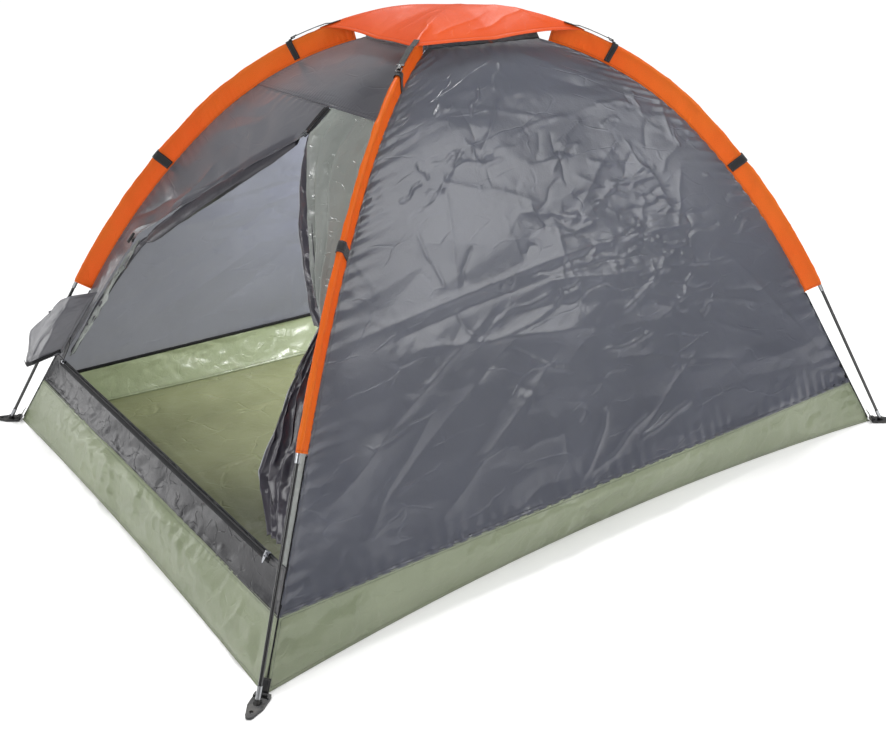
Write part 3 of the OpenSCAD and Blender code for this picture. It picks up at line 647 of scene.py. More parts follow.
def stitch_group() -> bpy.types.NodeTree:
    """Dashed stitching at a set distance from the nearest edge of a sheet."""
    inputs = {"Inset": 0.006, "Length": 0.004, "Width": 0.0007}
    g, given, out = new_group("stitches", inputs, ["Thread", "Pull"])
    rim = g.add("Attribute", attribute_name="rim").outputs["Fac"]
    run = g.add("Attribute", attribute_name="run").outputs["Fac"]
    off = g.math("ABSOLUTE", g.math("SUBTRACT", rim, given.outputs["Inset"]))
    near = g.math("LESS_THAN", off, given.outputs["Width"])
    dash = g.math("LESS_THAN", g.math("FRACT", g.math("DIVIDE", run, given.outputs["Length"])), 0.68)
    g.tree.links.new(g.math("MULTIPLY", near, dash), out.inputs["Thread"])
    g.tree.links.new(g.span(off, 0.0, 0.004, 1.0, 0.0), out.inputs["Pull"])
    return g.tree


def wear_group() -> bpy.types.NodeTree:
    """Soft uneven tone and a little dust low down."""
    g, given, out = new_group("wear", {"Scale": 3.0}, ["Tone", "Dust"])
    place = g.add("TexCoord").outputs["Object"]
    tone = g.add("TexNoise", {"Vector": place, "Scale": given.outputs["Scale"]}, Detail=4.0, Roughness=0.55)
    fine = g.add("TexNoise", {"Vector": place}, Scale=60.0, Detail=3.0)
    low = g.span(g.add("SeparateXYZ", {"Vector": place}).outputs[2], 0.0, 0.12, 1.0, 0.0)
    g.tree.links.new(g.span(tone.outputs["Fac"], 0.3, 0.7), out.inputs["Tone"])
    dust = g.math("MULTIPLY", low, g.span(fine.outputs["Fac"], 0.45, 0.75))
    g.tree.links.new(dust, out.inputs["Dust"])
    return g.tree


GROUPS = {"creases": crease_group, "weave": weave_group, "stitches": stitch_group, "wear": wear_group}


def shared(name: str) -> bpy.types.NodeTree:
    """The named node group, made once."""
    return bpy.data.node_groups.get(name) or GROUPS[name]()


def linear(red: int, green: int, blue: int) -> tuple[float, float, float, float]:
    """A linear colour from display values of 0 to 255."""
    return (*(((c / 255 + 0.055) / 1.055) ** 2.4 if c > 10 else c / 3294.6 for c in (red, green, blue)), 1.0)


@dataclass(frozen=True)
class Finish:
    """A woven, coated or moulded surface; lengths in metres."""

    name: str
    colour: tuple[int, int, int]
    worn: tuple[int, int, int]
    coords: Coords = Coords.CLOTH
    roughness: float = 0.45
    metallic: float = 0.0
    specular: float = 0.5
    coat: float = 0.0
    sheen: float = 0.0
    through: float = 0.0
    through_tint: tuple[int, int, int] = (255, 255, 255)
    weave: float = 0.0
    weave_depth: float = 0.0
    crease_scale: float = 0.0
    crease_stretch: float = 1.5
    crease_share: float = 0.5
    crease_depth: float = 0.0
    crinkle: float = 0.0
    crinkle_scale: float = 60.0
    stitch_inset: float = 0.0
    thread: tuple[int, int, int] = (60, 60, 62)
    dust: float = 0.12
    opening: float = 0.0

    def make(self) -> Material:
        """Builds the material."""
        material = bpy.data.materials.new(self.name)
        if material.node_tree is None:
            material.use_nodes = True
        material.node_tree.nodes.clear()
        g = Graph(material.node_tree)
        if self.coords is Coords.CLOTH:
            place = g.add("UVMap", uv_map="cloth").outputs[0]
        else:
            place = g.add("TexCoord").outputs["Object"]
        wear = g.add("Group", node_tree=shared("wear"))
        colour = g.mix(wear.outputs["Tone"], linear(*self.colour), linear(*self.worn))
        height = g.math("MULTIPLY", wear.outputs["Tone"], 0.0)
        if self.weave:
            weave = g.add("Group", {"Vector": place}, node_tree=shared("weave"), Pitch=self.weave)
            height = g.math("ADD", height, g.math("MULTIPLY", weave.outputs[0], self.weave_depth))
            shade = g.span(weave.outputs[0], 0.0, 0.5, 0.35, 0.0)
            colour = g.mix(shade, colour, linear(*(int(c * 0.55) for c in self.colour)))
        if self.crease_scale:
            creases = g.add(
                "Group", {"Vector": place}, node_tree=shared("creases"),
                Scale=self.crease_scale, Stretch=self.crease_stretch, Share=self.crease_share,
            )
            height = g.math("ADD", height, g.math("MULTIPLY", creases.outputs["Height"], self.crease_depth))
            # Painted highlight: the colour turns lighter along the crease lines, standing in for the light that catches
            # the creases.
            painted_crease_highlight = g.math("MULTIPLY", creases.outputs["Line"], 0.05)
            colour = g.mix(painted_crease_highlight, colour, linear(*(min(255, int(c * 1.45 + 20)) for c in self.worn)))
        if self.crinkle:
            noise = g.add("TexNoise", {"Vector": place}, Scale=self.crinkle_scale, Detail=5.0, Roughness=0.6)
            ridge = g.math("ABSOLUTE", g.math("SUBTRACT", noise.outputs["Fac"], 0.5))
            height = g.math("ADD", height, g.math("MULTIPLY", ridge, self.crinkle))
        if self.stitch_inset:
            stitches = g.add("Group", node_tree=shared("stitches"), Inset=self.stitch_inset)
            height = g.math("SUBTRACT", height, g.math("MULTIPLY", stitches.outputs["Pull"], 0.0005))
            height = g.math("ADD", height, g.math("MULTIPLY", stitches.outputs["Thread"], 0.0006))
            colour = g.mix(stitches.outputs["Thread"], colour, linear(*self.thread))
        dust = g.math("MULTIPLY", wear.outputs["Dust"], self.dust)
        colour = g.mix(dust, colour, linear(168, 162, 150))
        bump = g.add("Bump", {"Height": height}, Distance=1.0)
        rough = g.math("ADD", g.math("MULTIPLY", dust, 0.6), self.roughness, clamp=True)
        main = g.add(
            "BsdfPrincipled", {"Base Color": colour, "Roughness": rough, "Normal": bump.outputs[0]},
            Metallic=self.metallic, Specular_IOR_Level=self.specular, Coat_Weight=self.coat,
            Coat_Roughness=0.16, Sheen_Weight=self.sheen, Sheen_Roughness=0.4,
        )
        shader = main.outputs[0]
        if self.through:
            tint = g.mix(0.84, colour, linear(*self.through_tint))
            back = g.add("BsdfTranslucent", {"Color": tint, "Normal": bump.outputs[0]})
            mixer = g.add("MixShader", Fac=self.through)
            g.tree.links.new(shader, mixer.inputs[1])
            g.tree.links.new(back.outputs[0], mixer.inputs[2])
            shader = mixer.outputs[0]
        if self.opening:
            holes = g.add("Group", {"Vector": place}, node_tree=shared("weave"), Pitch=self.opening)
            cover = g.span(holes.outputs[0], 0.45, 0.6, 1.0, 0.25)
            g.tree.links.new(cover, main.inputs["Alpha"])
        g.tree.links.new(shader, g.add("OutputMaterial").inputs["Surface"])
        return material


WALL = Finish(
    "wall_cloth", (88, 91, 106), (72, 75, 91), roughness=0.30, specular=0.8, coat=0.32, sheen=0.03,
    through=0.40, through_tint=(252, 253, 255), weave=0.0011, weave_depth=0.00003, crease_scale=13.0,
    crease_stretch=1.9, crease_share=0.50, crease_depth=0.0005, crinkle=0.0014, crinkle_scale=15.0,
    stitch_inset=0.009, thread=(70, 70, 74),
)
# Painted shade: the same wall cloth made darker, and less see-through, for the front, which stands in shade.
SHADED_FRONT_WALL = replace(WALL, name="front_cloth_painted_shade", colour=(82, 82, 90), worn=(68, 68, 77), through=0.24)
# Painted light: the same wall cloth made much lighter and less blue for the door's loose cloth, standing in for the
# light that shines through it.
LIT_DOOR_CLOTH = Finish(
    "door_cloth_painted_light", (158, 161, 158), (134, 138, 136), roughness=0.26, specular=0.7, coat=0.25, sheen=0.04,
    through=0.36, through_tint=(244, 250, 244), weave=0.0011, weave_depth=0.00003, crease_scale=26.0,
    crease_stretch=1.2, crease_share=0.5, crease_depth=0.0008, crinkle=0.001, crinkle_scale=34.0,
)
# Painted shade: the wall cloth made much darker for the rolled-up left flap, standing in for the shade in the roll.
SHADED_ROLL = Finish(
    "rolled_cloth_painted_shade", (62, 61, 68), (46, 45, 52), roughness=0.34, specular=0.55, through=0.12,
    weave=0.0011, weave_depth=0.00003, crinkle=0.0022, crinkle_scale=42.0,
)
# Painted shade: the wall cloth made nearly black for the bunched right flap and the gusset's turned edge, standing in
# for their shaded inner sides.
SHADED_BUNCH = Finish(
    "bunched_cloth_painted_shade", (56, 53, 64), (40, 38, 48), roughness=0.27, specular=0.65, coat=0.2, through=0.14,
    weave=0.0011, weave_depth=0.00003, crinkle=0.0024, crinkle_scale=30.0,
)
THRESHOLD = Finish(
    "threshold_cloth", (44, 44, 48), (32, 32, 36), roughness=0.32, specular=0.5, coat=0.08,
    weave=0.0014, weave_depth=0.00004, crease_scale=24.0, crease_stretch=1.3, crease_share=0.55,
    crease_depth=0.001, crinkle=0.0014, crinkle_scale=30.0, stitch_inset=0.006,
)
TARP = Finish(
    "tarpaulin", (170, 178, 152), (150, 159, 132), roughness=0.30, specular=0.6, coat=0.3,
    through=0.34, through_tint=(226, 234, 204), weave=0.0026, weave_depth=0.00012, crease_scale=17.0,
    crease_stretch=1.2, crease_share=0.50, crease_depth=0.0008, crinkle=0.0044, crinkle_scale=20.0,
    stitch_inset=0.008, thread=(90, 96, 84), dust=0.2,
)
FLOOR = Finish(
    "floor_tarpaulin", (148, 152, 114), (126, 130, 94), roughness=0.36, specular=0.5, coat=0.15,
    weave=0.0026, weave_depth=0.00012, crease_scale=10.0, crease_stretch=1.0, crease_share=0.5,
    crease_depth=0.0016, crinkle=0.0024, crinkle_scale=20.0, dust=0.1,
)
# Painted light: the sleeves' cloth, the same orange cloth as the cap's, made lighter and yellower, also in the light it
# lets through, for the light on and through the sleeves.
LIT_ORANGE = Finish(
    "orange_cloth_painted_light", (255, 140, 40), (255, 124, 32), roughness=0.46, specular=0.35,
    through=0.50, through_tint=(255, 180, 70), weave=0.0009, weave_depth=0.00003, crease_scale=34.0,
    crease_stretch=1.0, crease_share=0.42, crease_depth=0.0005, crinkle=0.0008, crinkle_scale=48.0,
    stitch_inset=0.005, thread=(196, 74, 30), dust=0.05,
)
CAP_CLOTH = Finish(
    "cap_cloth", (242, 98, 34), (232, 84, 26), roughness=0.42, specular=0.3,
    through=0.16, through_tint=(255, 130, 40), weave=0.0009, weave_depth=0.00003, crease_scale=22.0,
    crease_stretch=1.0, crease_share=0.5, crease_depth=0.0002, crinkle=0.0006, crinkle_scale=40.0,
    stitch_inset=0.010, thread=(206, 78, 34), dust=0.03,
)
# Painted highlight: the zip tapes and coils along the free edges are pale grey, standing in for the glints on them.
GLINT_TAPE = Finish(
    "edge_tape", (150, 152, 156), (110, 112, 118), coords=Coords.OBJECT, roughness=0.3, specular=0.6,
    crinkle=0.0006, crinkle_scale=140.0, dust=0.0,
)
NET = Finish("netting", (26, 26, 29), (18, 18, 20), roughness=0.6, through=0.1, opening=0.0013)
SHEET_TAPE = Finish(
    "sewn_tape", (28, 28, 31), (20, 20, 23), roughness=0.68, specular=0.22,
    weave=0.0012, weave_depth=0.0001, stitch_inset=0.0025,
)
WEBBING = Finish(
    "webbing", (25, 25, 28), (17, 17, 20), roughness=0.55, specular=0.4, sheen=0.25,
    weave=0.0016, weave_depth=0.0003, stitch_inset=0.003, thread=(48, 48, 50),
)
ELASTIC = Finish(
    "elastic", (30, 30, 33), (22, 22, 24), roughness=0.62, sheen=0.2, weave=0.0011, weave_depth=0.0004,
)
FIBREGLASS = Finish(
    "fibreglass", (20, 20, 22), (13, 13, 15), coords=Coords.OBJECT, roughness=0.24, specular=0.6,
    coat=0.35, crinkle=0.0002, crinkle_scale=240.0, dust=0.06,
)
STEEL = Finish(
    "ferrule_steel", (176, 178, 180), (146, 148, 152), coords=Coords.OBJECT, roughness=0.28,
    metallic=1.0, crinkle=0.0003, crinkle_scale=160.0, dust=0.04,
)
PLASTIC = Finish(
    "black_plastic", (22, 22, 24), (15, 15, 17), coords=Coords.OBJECT, roughness=0.38, specular=0.5,
    crinkle=0.0004, crinkle_scale=190.0, dust=0.1,
)
ZIP_NYLON = Finish(
    "zip_nylon", (32, 32, 35), (24, 24, 27), coords=Coords.OBJECT, roughness=0.42, crinkle=0.0006,
    crinkle_scale=300.0,
)
ZIP_METAL = Finish(
    "zip_metal", (188, 190, 194), (158, 160, 166), coords=Coords.OBJECT, roughness=0.22, metallic=1.0,
    crinkle=0.0003, crinkle_scale=220.0, dust=0.03,
)


# ---- panels and folded cloth --------------------------------------------------------------------------


class Facing(Enum):
    """The four sides of the tent, each as seen from outside."""

    RIGHT = "right"
    LEFT = "left"
    FRONT = "front"
    REAR = "rear"

    def place(self, along: Array, z: Array, out: Array | float = 0.0) -> Array:
        """Points on this side.

        Args:
            along: distance to the right of the side's middle, seen from outside.
            z: height.
            out: distance outward.

        Returns:
            Points in the tent's frame.
        """
        sign = 1 if self in (Facing.RIGHT, Facing.FRONT) else -1
        share = PITCH.share_x if self in (Facing.RIGHT, Facing.LEFT) else PITCH.share_y
        away = PITCH.seam_r(z) * share + out
        if self in (Facing.RIGHT, Facing.LEFT):
            return np.stack(np.broadcast_arrays(sign * away, sign * along, z), -1)
        return np.stack(np.broadcast_arrays(sign * along, -sign * away, z), -1)

    def half_width(self, z: Array | float) -> Array:
        """Half of this side's width at height z, inside the seams."""
        share = PITCH.share_y if self in (Facing.RIGHT, Facing.LEFT) else PITCH.share_x
        return PITCH.seam_r(z) * share - 0.0015


def in_from_seam(z: Array | float, width: float) -> Array:
    """Distance from the front wall's middle, width in from its corner seam at height z."""
    return PITCH.seam_r(z) * PITCH.share_x - width


def levels(facing: Facing, low: float, high: float, pitch: float) -> Array:
    """Heights evenly spaced up a side's slope."""
    z = np.linspace(low, high, 400)
    middle = facing.place(0 * z, z)
    climb = np.concatenate([[0], np.cumsum(np.linalg.norm(np.diff(middle, axis=0), axis=1))])
    count = max(3, int(climb[-1] / pitch) + 1)
    return np.interp(np.linspace(0, climb[-1], count), climb, z)


def panel_grid(
    facing: Facing,
    low: float,
    high: float,
    pitch: float,
    edges: Callable[[Array], tuple[Array, Array]] | None = None,
    out: float = -0.0006,
) -> Array:
    """A grid of points over part of a side.

    Args:
        facing: the side.
        low: lowest height.
        high: highest height.
        pitch: distance between points.
        edges: left and right edges for each height, if not the corner seams.
        out: distance outward.

    Returns:
        Rows of points from the lowest up, each from left to right seen from outside.
    """
    z = levels(facing, low, high, pitch)
    left, right = edges(z) if edges else (-facing.half_width(z), facing.half_width(z))
    count = max(4, int(float(np.max(right - left)) / pitch) + 1)
    t = np.linspace(0, 1, count)[None, :]
    return facing.place(left[:, None] * (1 - t) + right[:, None] * t, z[:, None] + 0 * t, out)


def fold_grid(
    arm: Arm, start: float, end: float, grow: float = 0.0, drop: float = 0.046, pitch: float = 0.005
) -> Array:
    """Cloth folded over a pole: a loose pocket round it and a fin below.

    Args:
        arm: the pole's arm.
        start: turn where the cloth starts.
        end: turn where it ends.
        grow: distance outside the sleeve's own surface.
        drop: how far the fin reaches below the pole's axis.
        pitch: distance between rows.

    Returns:
        Rows of points down the arm, each from one fin edge over the pole to the other.
    """
    arch = PITCH.arch_of(arm)
    length = float(np.hypot(*(np.subtract(arch.point(start), arch.point(end)))))
    turns = np.linspace(start, end, max(4, int(length / pitch) + 1))
    radius, foot = 0.0062 + grow, 0.0014 + grow
    side = np.linspace(-drop, 0, 12, endpoint=False)
    width = foot + (radius - foot) * ((side + drop) / drop) ** 1.7
    angle = np.linspace(0, math.pi, 13)
    off = np.concatenate([side, radius * np.sin(angle), side[::-1]])
    across = np.concatenate([width, radius * np.cos(angle), -width[::-1]])
    reach, height = arch.point(turns[:, None], off[None, :])
    return PITCH.on_arm(arm, reach, across[None, :] + 0 * reach, height)


def ribbon_grid(path: Array, side: Array, width: float, columns: int = 7) -> Array:
    """A flat ribbon along a path.

    Args:
        path: points of its middle line.
        side: unit vector across it, or one for each point.
        width: its width.
        columns: how many points across it.

    Returns:
        Rows of points along the path.
    """
    t = np.linspace(-0.5, 0.5, columns)[None, :, None]
    return path[:, None] + np.broadcast_to(side, path.shape)[:, None] * t * width


def resample(path: Sequence[Sequence[float]], pitch: float, rounded: int = 0) -> Array:
    """Evenly spaced points along a path, its corners rounded by repeated averaging."""
    path = np.asarray(path, float)
    run = np.concatenate([[0], np.cumsum(np.linalg.norm(np.diff(path, axis=0), axis=1))])
    at = np.linspace(0, run[-1], max(3, int(run[-1] / pitch) + 1))
    points = np.stack([np.interp(at, run, path[:, i]) for i in range(path.shape[1])], -1)
    for _ in range(rounded):
        points[1:-1] = (points[:-2] + 2 * points[1:-1] + points[2:]) / 4
    return points


def declare(piece: Piece) -> Piece:
    """Hands back a cloth sheet unchanged.

    Args:
        piece: the cloth.

    Returns:
        The cloth.
    """
    return piece


@dataclass
class Palette:
    """The materials, each made once."""

    made: dict[str, Material] = field(default_factory=dict)

    def of(self, finish: Finish) -> Material:
        """The material of a finish."""
        if finish.name not in self.made:
            self.made[finish.name] = finish.make()
        return self.made[finish.name]


@dataclass
class SubAssembly:
    """Part of the tent that is dressed together."""

    palette: Palette

    def sheet(
        self, name: str, points: Array, finish: Finish, slot: str, held: str, rests_on: Sequence[str],
        nodes: Sequence[str] = (), body: str = "tent", wrinkles: Wrinkles = Wrinkles(),
        thickness: float = 0.0008, open_sides: str = "", hem: float = 0.0,
    ) -> Piece:
        """Args:
            name: the piece's name.
            points: its smooth shape.
            finish: its finish.
            slot: its material slot in the record; not used.
            held: how it is held; not used.
            rests_on: nodes that hold it; not used.
            nodes: CAD nodes that it stands for.
            body: the body that it rides on.
            wrinkles: how it departs from the smooth shape.
            thickness: its thickness.
            open_sides: edges that aren't sewn down.
            hem: width of its doubled edge.

        Returns:
            The cloth.
        """
        piece = lay_sheet(name, points, self.palette.of(finish), wrinkles, thickness, open_sides, hem)
        fit(piece, body, slot, *nodes)
        return declare(piece)

    def dress(self, finish: Finish, *nodes: str) -> None:
        """Gives CAD nodes a finish."""
        for node in nodes:
            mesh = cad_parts[node].data
            mesh.materials.clear()
            mesh.materials.append(self.palette.of(finish))
            LOG.info("%s keeps its CAD shape", node)


# ---- floor and tub --------------------------------------------------------------------------------


@dataclass
class Tub(SubAssembly):
    """Tarpaulin floor with low leaning walls, sewn to the cloth with black binding inside."""

    side_bow: float = 0.070
    end_bow: float = 0.012
    crease_share: float = 0.82
    crease_out: float = 0.016
    pitch: float = 0.007
    roll: float = 0.010

    @property
    def corner(self) -> tuple[float, float]:
        """Half length and half width between the floor's corners."""
        return PITCH.corner_r * PITCH.share_x, PITCH.corner_r * PITCH.share_y

    def wall_grid(self, facing: Facing) -> Array:
        """The smooth shape of one tub wall, from its bowed lower edge over its crease to its top."""
        long = facing in (Facing.RIGHT, Facing.LEFT)
        near, far = self.corner if long else self.corner[::-1]
        bow = self.side_bow if long else self.end_bow
        v = np.linspace(-1, 1, int(2 * far / self.pitch))
        top_z = TUB_H + 0.001
        share = PITCH.share_x if long else PITCH.share_y
        top_away = float(PITCH.seam_r(top_z)) * share - 0.0012
        top_half = float(facing.half_width(top_z)) + 0.001
        low_away = near - bow * (1 - v**2)
        crease_z = 0.002 + (self.crease_share * TUB_H - 0.002) * (1 - np.abs(v) ** 2.3)
        part = crease_z / top_z
        middle_away = low_away + (top_away - low_away) * part + self.crease_out * (1 - v**2)
        t = np.linspace(0, 1, 26)[:, None]
        blend = np.clip((t - part) / np.maximum(1 - part, 1e-3), 0, 1)
        below = np.clip(t / np.maximum(part, 1e-3), 0, 1)
        under_crease = low_away + (middle_away - low_away) * below
        over_crease = middle_away + (top_away - middle_away) * blend
        away = np.where(t < part, under_crease, over_crease)
        for _ in range(3):
            away[1:-1] = (away[:-2] + 2 * away[1:-1] + away[2:]) / 4
        half = (far - 0.004) * (1 - t) + top_half * t
        z = 0.0004 + (top_z - 0.0004) * t + 0 * away
        along = half * v
        if facing in (Facing.RIGHT, Facing.LEFT):
            sign = 1 if facing is Facing.RIGHT else -1
            return np.stack([sign * away, sign * along, z], -1)
        sign = 1 if facing is Facing.FRONT else -1
        return np.stack([sign * along, -sign * away, z], -1)

    def walls(self) -> None:
        """Lays the four tub walls with pinched pleats and a crinkled upper facet."""
        pleats = tuple(
            Fold((x, 0.01), (x + lean, 0.12), height, 0.006)
            for x, lean, height in (
                (-0.80, 0.05, 0.004), (-0.55, -0.03, 0.003), (-0.30, 0.05, 0.004), (-0.16, 0.02, 0.006),
                (-0.10, -0.03, 0.005), (0.02, 0.03, 0.004), (0.22, -0.05, 0.003), (0.52, 0.05, 0.004),
                (0.74, -0.04, 0.003),
            )
        )
        for facing, node in zip(Facing, ("tub_right", "tub_left", "tub_front", "tub_rear")):
            looks = Wrinkles(
                seed=31 + len(node) * 7, swell=0.0040, swell_size=0.17, facet=0.0062, facet_size=0.048,
                facet_stretch=1.5, crumple=0.0034, crumple_size=0.019, pucker=0.0012, pucker_size=0.02,
                pucker_reach=0.016, folds=pleats,
            )
            points = self.wall_grid(facing)
            self.sheet(
                f"{node}_cloth", points, TARP, "tub_tarp", "stretched", ["floor_sheet"], [node],
                wrinkles=looks, thickness=0.0007,
            )

    def floor(self) -> None:
        """Lays the floor, its packing folds still showing."""
        near, far = self.corner
        u = np.linspace(-1, 1, 170)[None, :]
        v = np.linspace(-1, 1, 230)[:, None]
        x = u * (near - self.side_bow * (1 - v**2) + 0.0004)
        y = v * (far - self.end_bow * (1 - u**2) + 0.0004)
        rise = 0.0045 * np.clip(np.minimum(1 - np.abs(u), 1 - np.abs(v)) * 12, 0, 1)
        points = np.stack(np.broadcast_arrays(x, y, 0.0012 + rise), -1)
        folds = tuple(Fold((x0, -0.9), (x0 + 0.03, 0.95), 0.003, 0.007) for x0 in (-0.42, -0.14, 0.16, 0.44))
        folds += tuple(Fold((-0.68, y0), (0.68, y0 + 0.02), 0.003, 0.007) for y0 in (-0.62, -0.2, 0.24, 0.66))
        folds += (Fold((-0.5, -0.6), (0.3, -0.1), 0.004, 0.012), Fold((-0.1, -0.8), (0.5, -0.3), 0.004, 0.010))
        looks = Wrinkles(
            seed=5, swell=0.002, swell_size=0.2, facet=0.0028, facet_size=0.075, facet_stretch=1.1,
            crumple=0.0008, crumple_size=0.026, folds=folds,
        )
        self.sheet(
            "floor_cloth", points, FLOOR, "floor_tarp", "laid", ["tub_right", "tub_left"],
            ["floor_sheet"], wrinkles=looks,
        )

    def bindings(self) -> None:
        """Sews the black binding inside, over the joint between walls and tub."""
        for facing in (Facing.RIGHT, Facing.LEFT, Facing.REAR):
            points = panel_grid(facing, TUB_H - 0.006, TUB_H + 0.006, 0.0035, out=-0.0052)
            self.sheet(
                f"binding_{facing.value}", points[:, ::-1], SHEET_TAPE, "black_tape", "stretched",
                ["wall_right"], ["inner_tapes"] if facing is Facing.RIGHT else [],
                wrinkles=Wrinkles(seed=3, swell=0.0008, swell_size=0.05, pucker=0.0003, pucker_size=0.012),
                thickness=0.001,
            )

    def corners(self) -> None:
        """Binds the four corner seams, from the sleeves' ends to the floor."""
        for arm in Arm:
            z = np.linspace(0.010, PITCH.seam_end()[1] - 0.004, 90)
            reach = PITCH.seam_r(z)
            off = np.array([-0.010, -0.005, 0.0, 0.0012, 0.0, -0.005, -0.010])
            across = np.array([1.0, 1.1, 0.9, 0.0, -0.9, -1.1, -1.0]) * 0.0011
            wave = 0.0004 * smooth_noise(z / 0.03, 0 * z, 41)
            points = PITCH.on_arm(
                arm, reach[:, None] + off[None, :], across[None, :] + wave[:, None], z[:, None] + 0 * off
            )
            self.sheet(
                f"corner_binding_{arm.name.lower()}", points[:, ::-1], SHEET_TAPE, "dark_fabric",
                "stretched", ["wall_right"], ["corner_seams"] if arm is Arm.NEAR else [],
                thickness=0.0006,
            )

    def build(self) -> None:
        """Builds the tub."""
        self.floor()
        self.walls()
        self.bindings()
        self.corners()


# ---- walls ----------------------------------------------------------------------------------------------


@dataclass
class Walls(SubAssembly):
    """The three plain walls and the cloth above the door."""

    fine: float = 0.0046
    coarse: float = 0.0085

    @staticmethod
    def crease(facing: Facing, start: Sequence[float], end: Sequence[float], *shape: float) -> Fold:
        """A crease between two points of a side, each as distance along it and height."""
        z = np.linspace(TUB_H, WALL_TOP_H, 300)
        middle = facing.place(0 * z, z)
        climb = np.concatenate([[0], np.cumsum(np.linalg.norm(np.diff(middle, axis=0), axis=1))])
        ends = [(p[0], float(np.interp(p[1], z, climb))) for p in (start, end)]
        return Fold(ends[0], ends[1], *shape)

    def packing(self, facing: Facing) -> tuple[Fold, ...]:
        """The long creases that packing left in a side wall."""
        strokes = (
            ((-0.66, 0.625), (0.47, 0.675), 0.0042, 0.010), ((-0.60, 0.590), (0.20, 0.622), -0.0030, 0.012),
            ((-0.16, 0.606), (0.60, 0.560), 0.0026, 0.010), ((-0.52, 0.560), (0.05, 0.470), 0.0034, 0.014),
            ((-0.25, 0.590), (-0.77, 0.310), 0.0042, 0.018), ((-0.20, 0.520), (-0.68, 0.250), -0.0030, 0.018),
            ((-0.08, 0.470), (-0.52, 0.190), 0.0036, 0.020), ((-0.36, 0.620), (-0.30, 0.900), 0.0018, 0.010),
            ((-0.11, 0.150), (0.02, 0.300), 0.0050, 0.010), ((-0.09, 0.155), (0.17, 0.250), 0.0042, 0.009),
            ((-0.12, 0.150), (-0.16, 0.330), -0.0040, 0.011), ((0.09, 0.190), (0.30, 0.240), 0.0036, 0.008),
            ((0.09, 0.190), (0.36, 0.360), -0.0030, 0.012), ((0.12, 0.745), (0.32, 0.830), 0.0030, 0.009),
            ((0.00, 0.700), (0.26, 0.900), 0.0024, 0.010), ((0.26, 0.900), (0.36, 0.720), 0.0024, 0.008),
            ((-0.14, 0.760), (0.16, 0.700), 0.0028, 0.009), ((0.16, 0.700), (0.50, 0.700), -0.0022, 0.010),
            ((0.20, 0.520), (0.62, 0.430), 0.0028, 0.013), ((0.02, 0.400), (0.50, 0.300), -0.0026, 0.014),
            ((-0.46, 0.440), (-0.72, 0.200), 0.0030, 0.020), ((-0.33, 0.880), (-0.05, 0.760), 0.0024, 0.010),
            ((-0.24, 1.020), (0.05, 0.930), 0.0020, 0.010), ((0.05, 0.930), (0.28, 0.985), 0.0018, 0.009),
            ((0.45, 0.640), (0.80, 0.300), 0.0026, 0.020), ((0.62, 0.500), (0.90, 0.180), -0.0024, 0.018),
        )
        turn = 1 if facing is Facing.RIGHT else -1
        return tuple(
            self.crease(facing, (turn * a[0], a[1]), (turn * b[0], b[1]), *shape) for a, b, *shape in strokes
        )

    def small_creases(self, facing: Facing, seed: int, count: int) -> tuple[Fold, ...]:
        """Short sharp creases, thickest in the middle of a side and lying mostly level.

        Args:
            facing: the side.
            seed: which creases.
            count: how many.

        Returns:
            The creases.
        """
        rng = np.random.default_rng(seed)
        made = []
        for _ in range(count):
            z = float(np.clip(rng.normal(0.66, 0.19), 0.17, 1.02))
            half = float(facing.half_width(z)) - 0.05
            along = float(np.clip(rng.normal(0.06, 0.26), -half, half))
            slope = float(rng.normal(0.12, 0.34) if rng.random() < 0.72 else rng.normal(1.5, 0.5))
            length = float(rng.uniform(0.05, 0.24))
            dx, dz = math.cos(slope) * length, math.sin(slope) * length * 0.8
            end = (float(np.clip(along + dx, -half, half)), float(np.clip(z + dz, 0.14, 1.05)))
            height = float(rng.uniform(0.0013, 0.0036) * rng.choice([1, 1, -1]))
            made.append(self.crease(facing, (along, z), end, height, float(rng.uniform(0.0035, 0.0075))))
        return tuple(made)

    def side(self, facing: Facing, node: str, pitch: float) -> None:
        """Hangs one side wall between its sleeves."""
        looks = Wrinkles(
            seed=61 if facing is Facing.RIGHT else 83, sag=0.012, swell=0.0046, swell_size=0.22,
            facet=0.0036, facet_size=0.085, facet_stretch=1.9, crumple=0.0007, crumple_size=0.026,
            pucker=0.0024, pucker_size=0.040, pucker_reach=0.034,
            folds=self.packing(facing) + self.small_creases(facing, 411, 120),
        )
        points = panel_grid(facing, TUB_H - 0.0015, ROOF_H, pitch)
        self.sheet(
            f"{node}_cloth", points, WALL, "wall_fabric", "hung", ["sleeve_right", "sleeve_near"],
            [node], wrinkles=looks,
        )

    def rear(self) -> None:
        """Hangs the rear wall."""
        strokes = (
            ((-0.40, 0.60), (0.42, 0.64), 0.0036, 0.010), ((-0.30, 0.50), (0.50, 0.36), 0.0030, 0.013),
            ((-0.55, 0.32), (0.05, 0.42), -0.0028, 0.013), ((0.10, 0.20), (0.30, 0.52), 0.0030, 0.012),
            ((-0.22, 0.86), (0.24, 0.80), 0.0024, 0.010), ((-0.50, 0.18), (-0.20, 0.30), 0.0034, 0.012),
        )
        looks = Wrinkles(
            seed=97, sag=0.010, swell=0.0040, swell_size=0.22, facet=0.0030, facet_size=0.10,
            facet_stretch=1.8, crumple=0.0004, crumple_size=0.034, pucker=0.0020, pucker_size=0.032,
            pucker_reach=0.028,
            folds=tuple(self.crease(Facing.REAR, *s) for s in strokes) + self.small_creases(Facing.REAR, 433, 70),
        )
        points = panel_grid(Facing.REAR, TUB_H - 0.0015, ROOF_H, self.coarse)
        self.sheet(
            "wall_rear_cloth", points, WALL, "wall_fabric", "hung", ["sleeve_far", "sleeve_right"],
            ["wall_rear"], wrinkles=looks,
        )

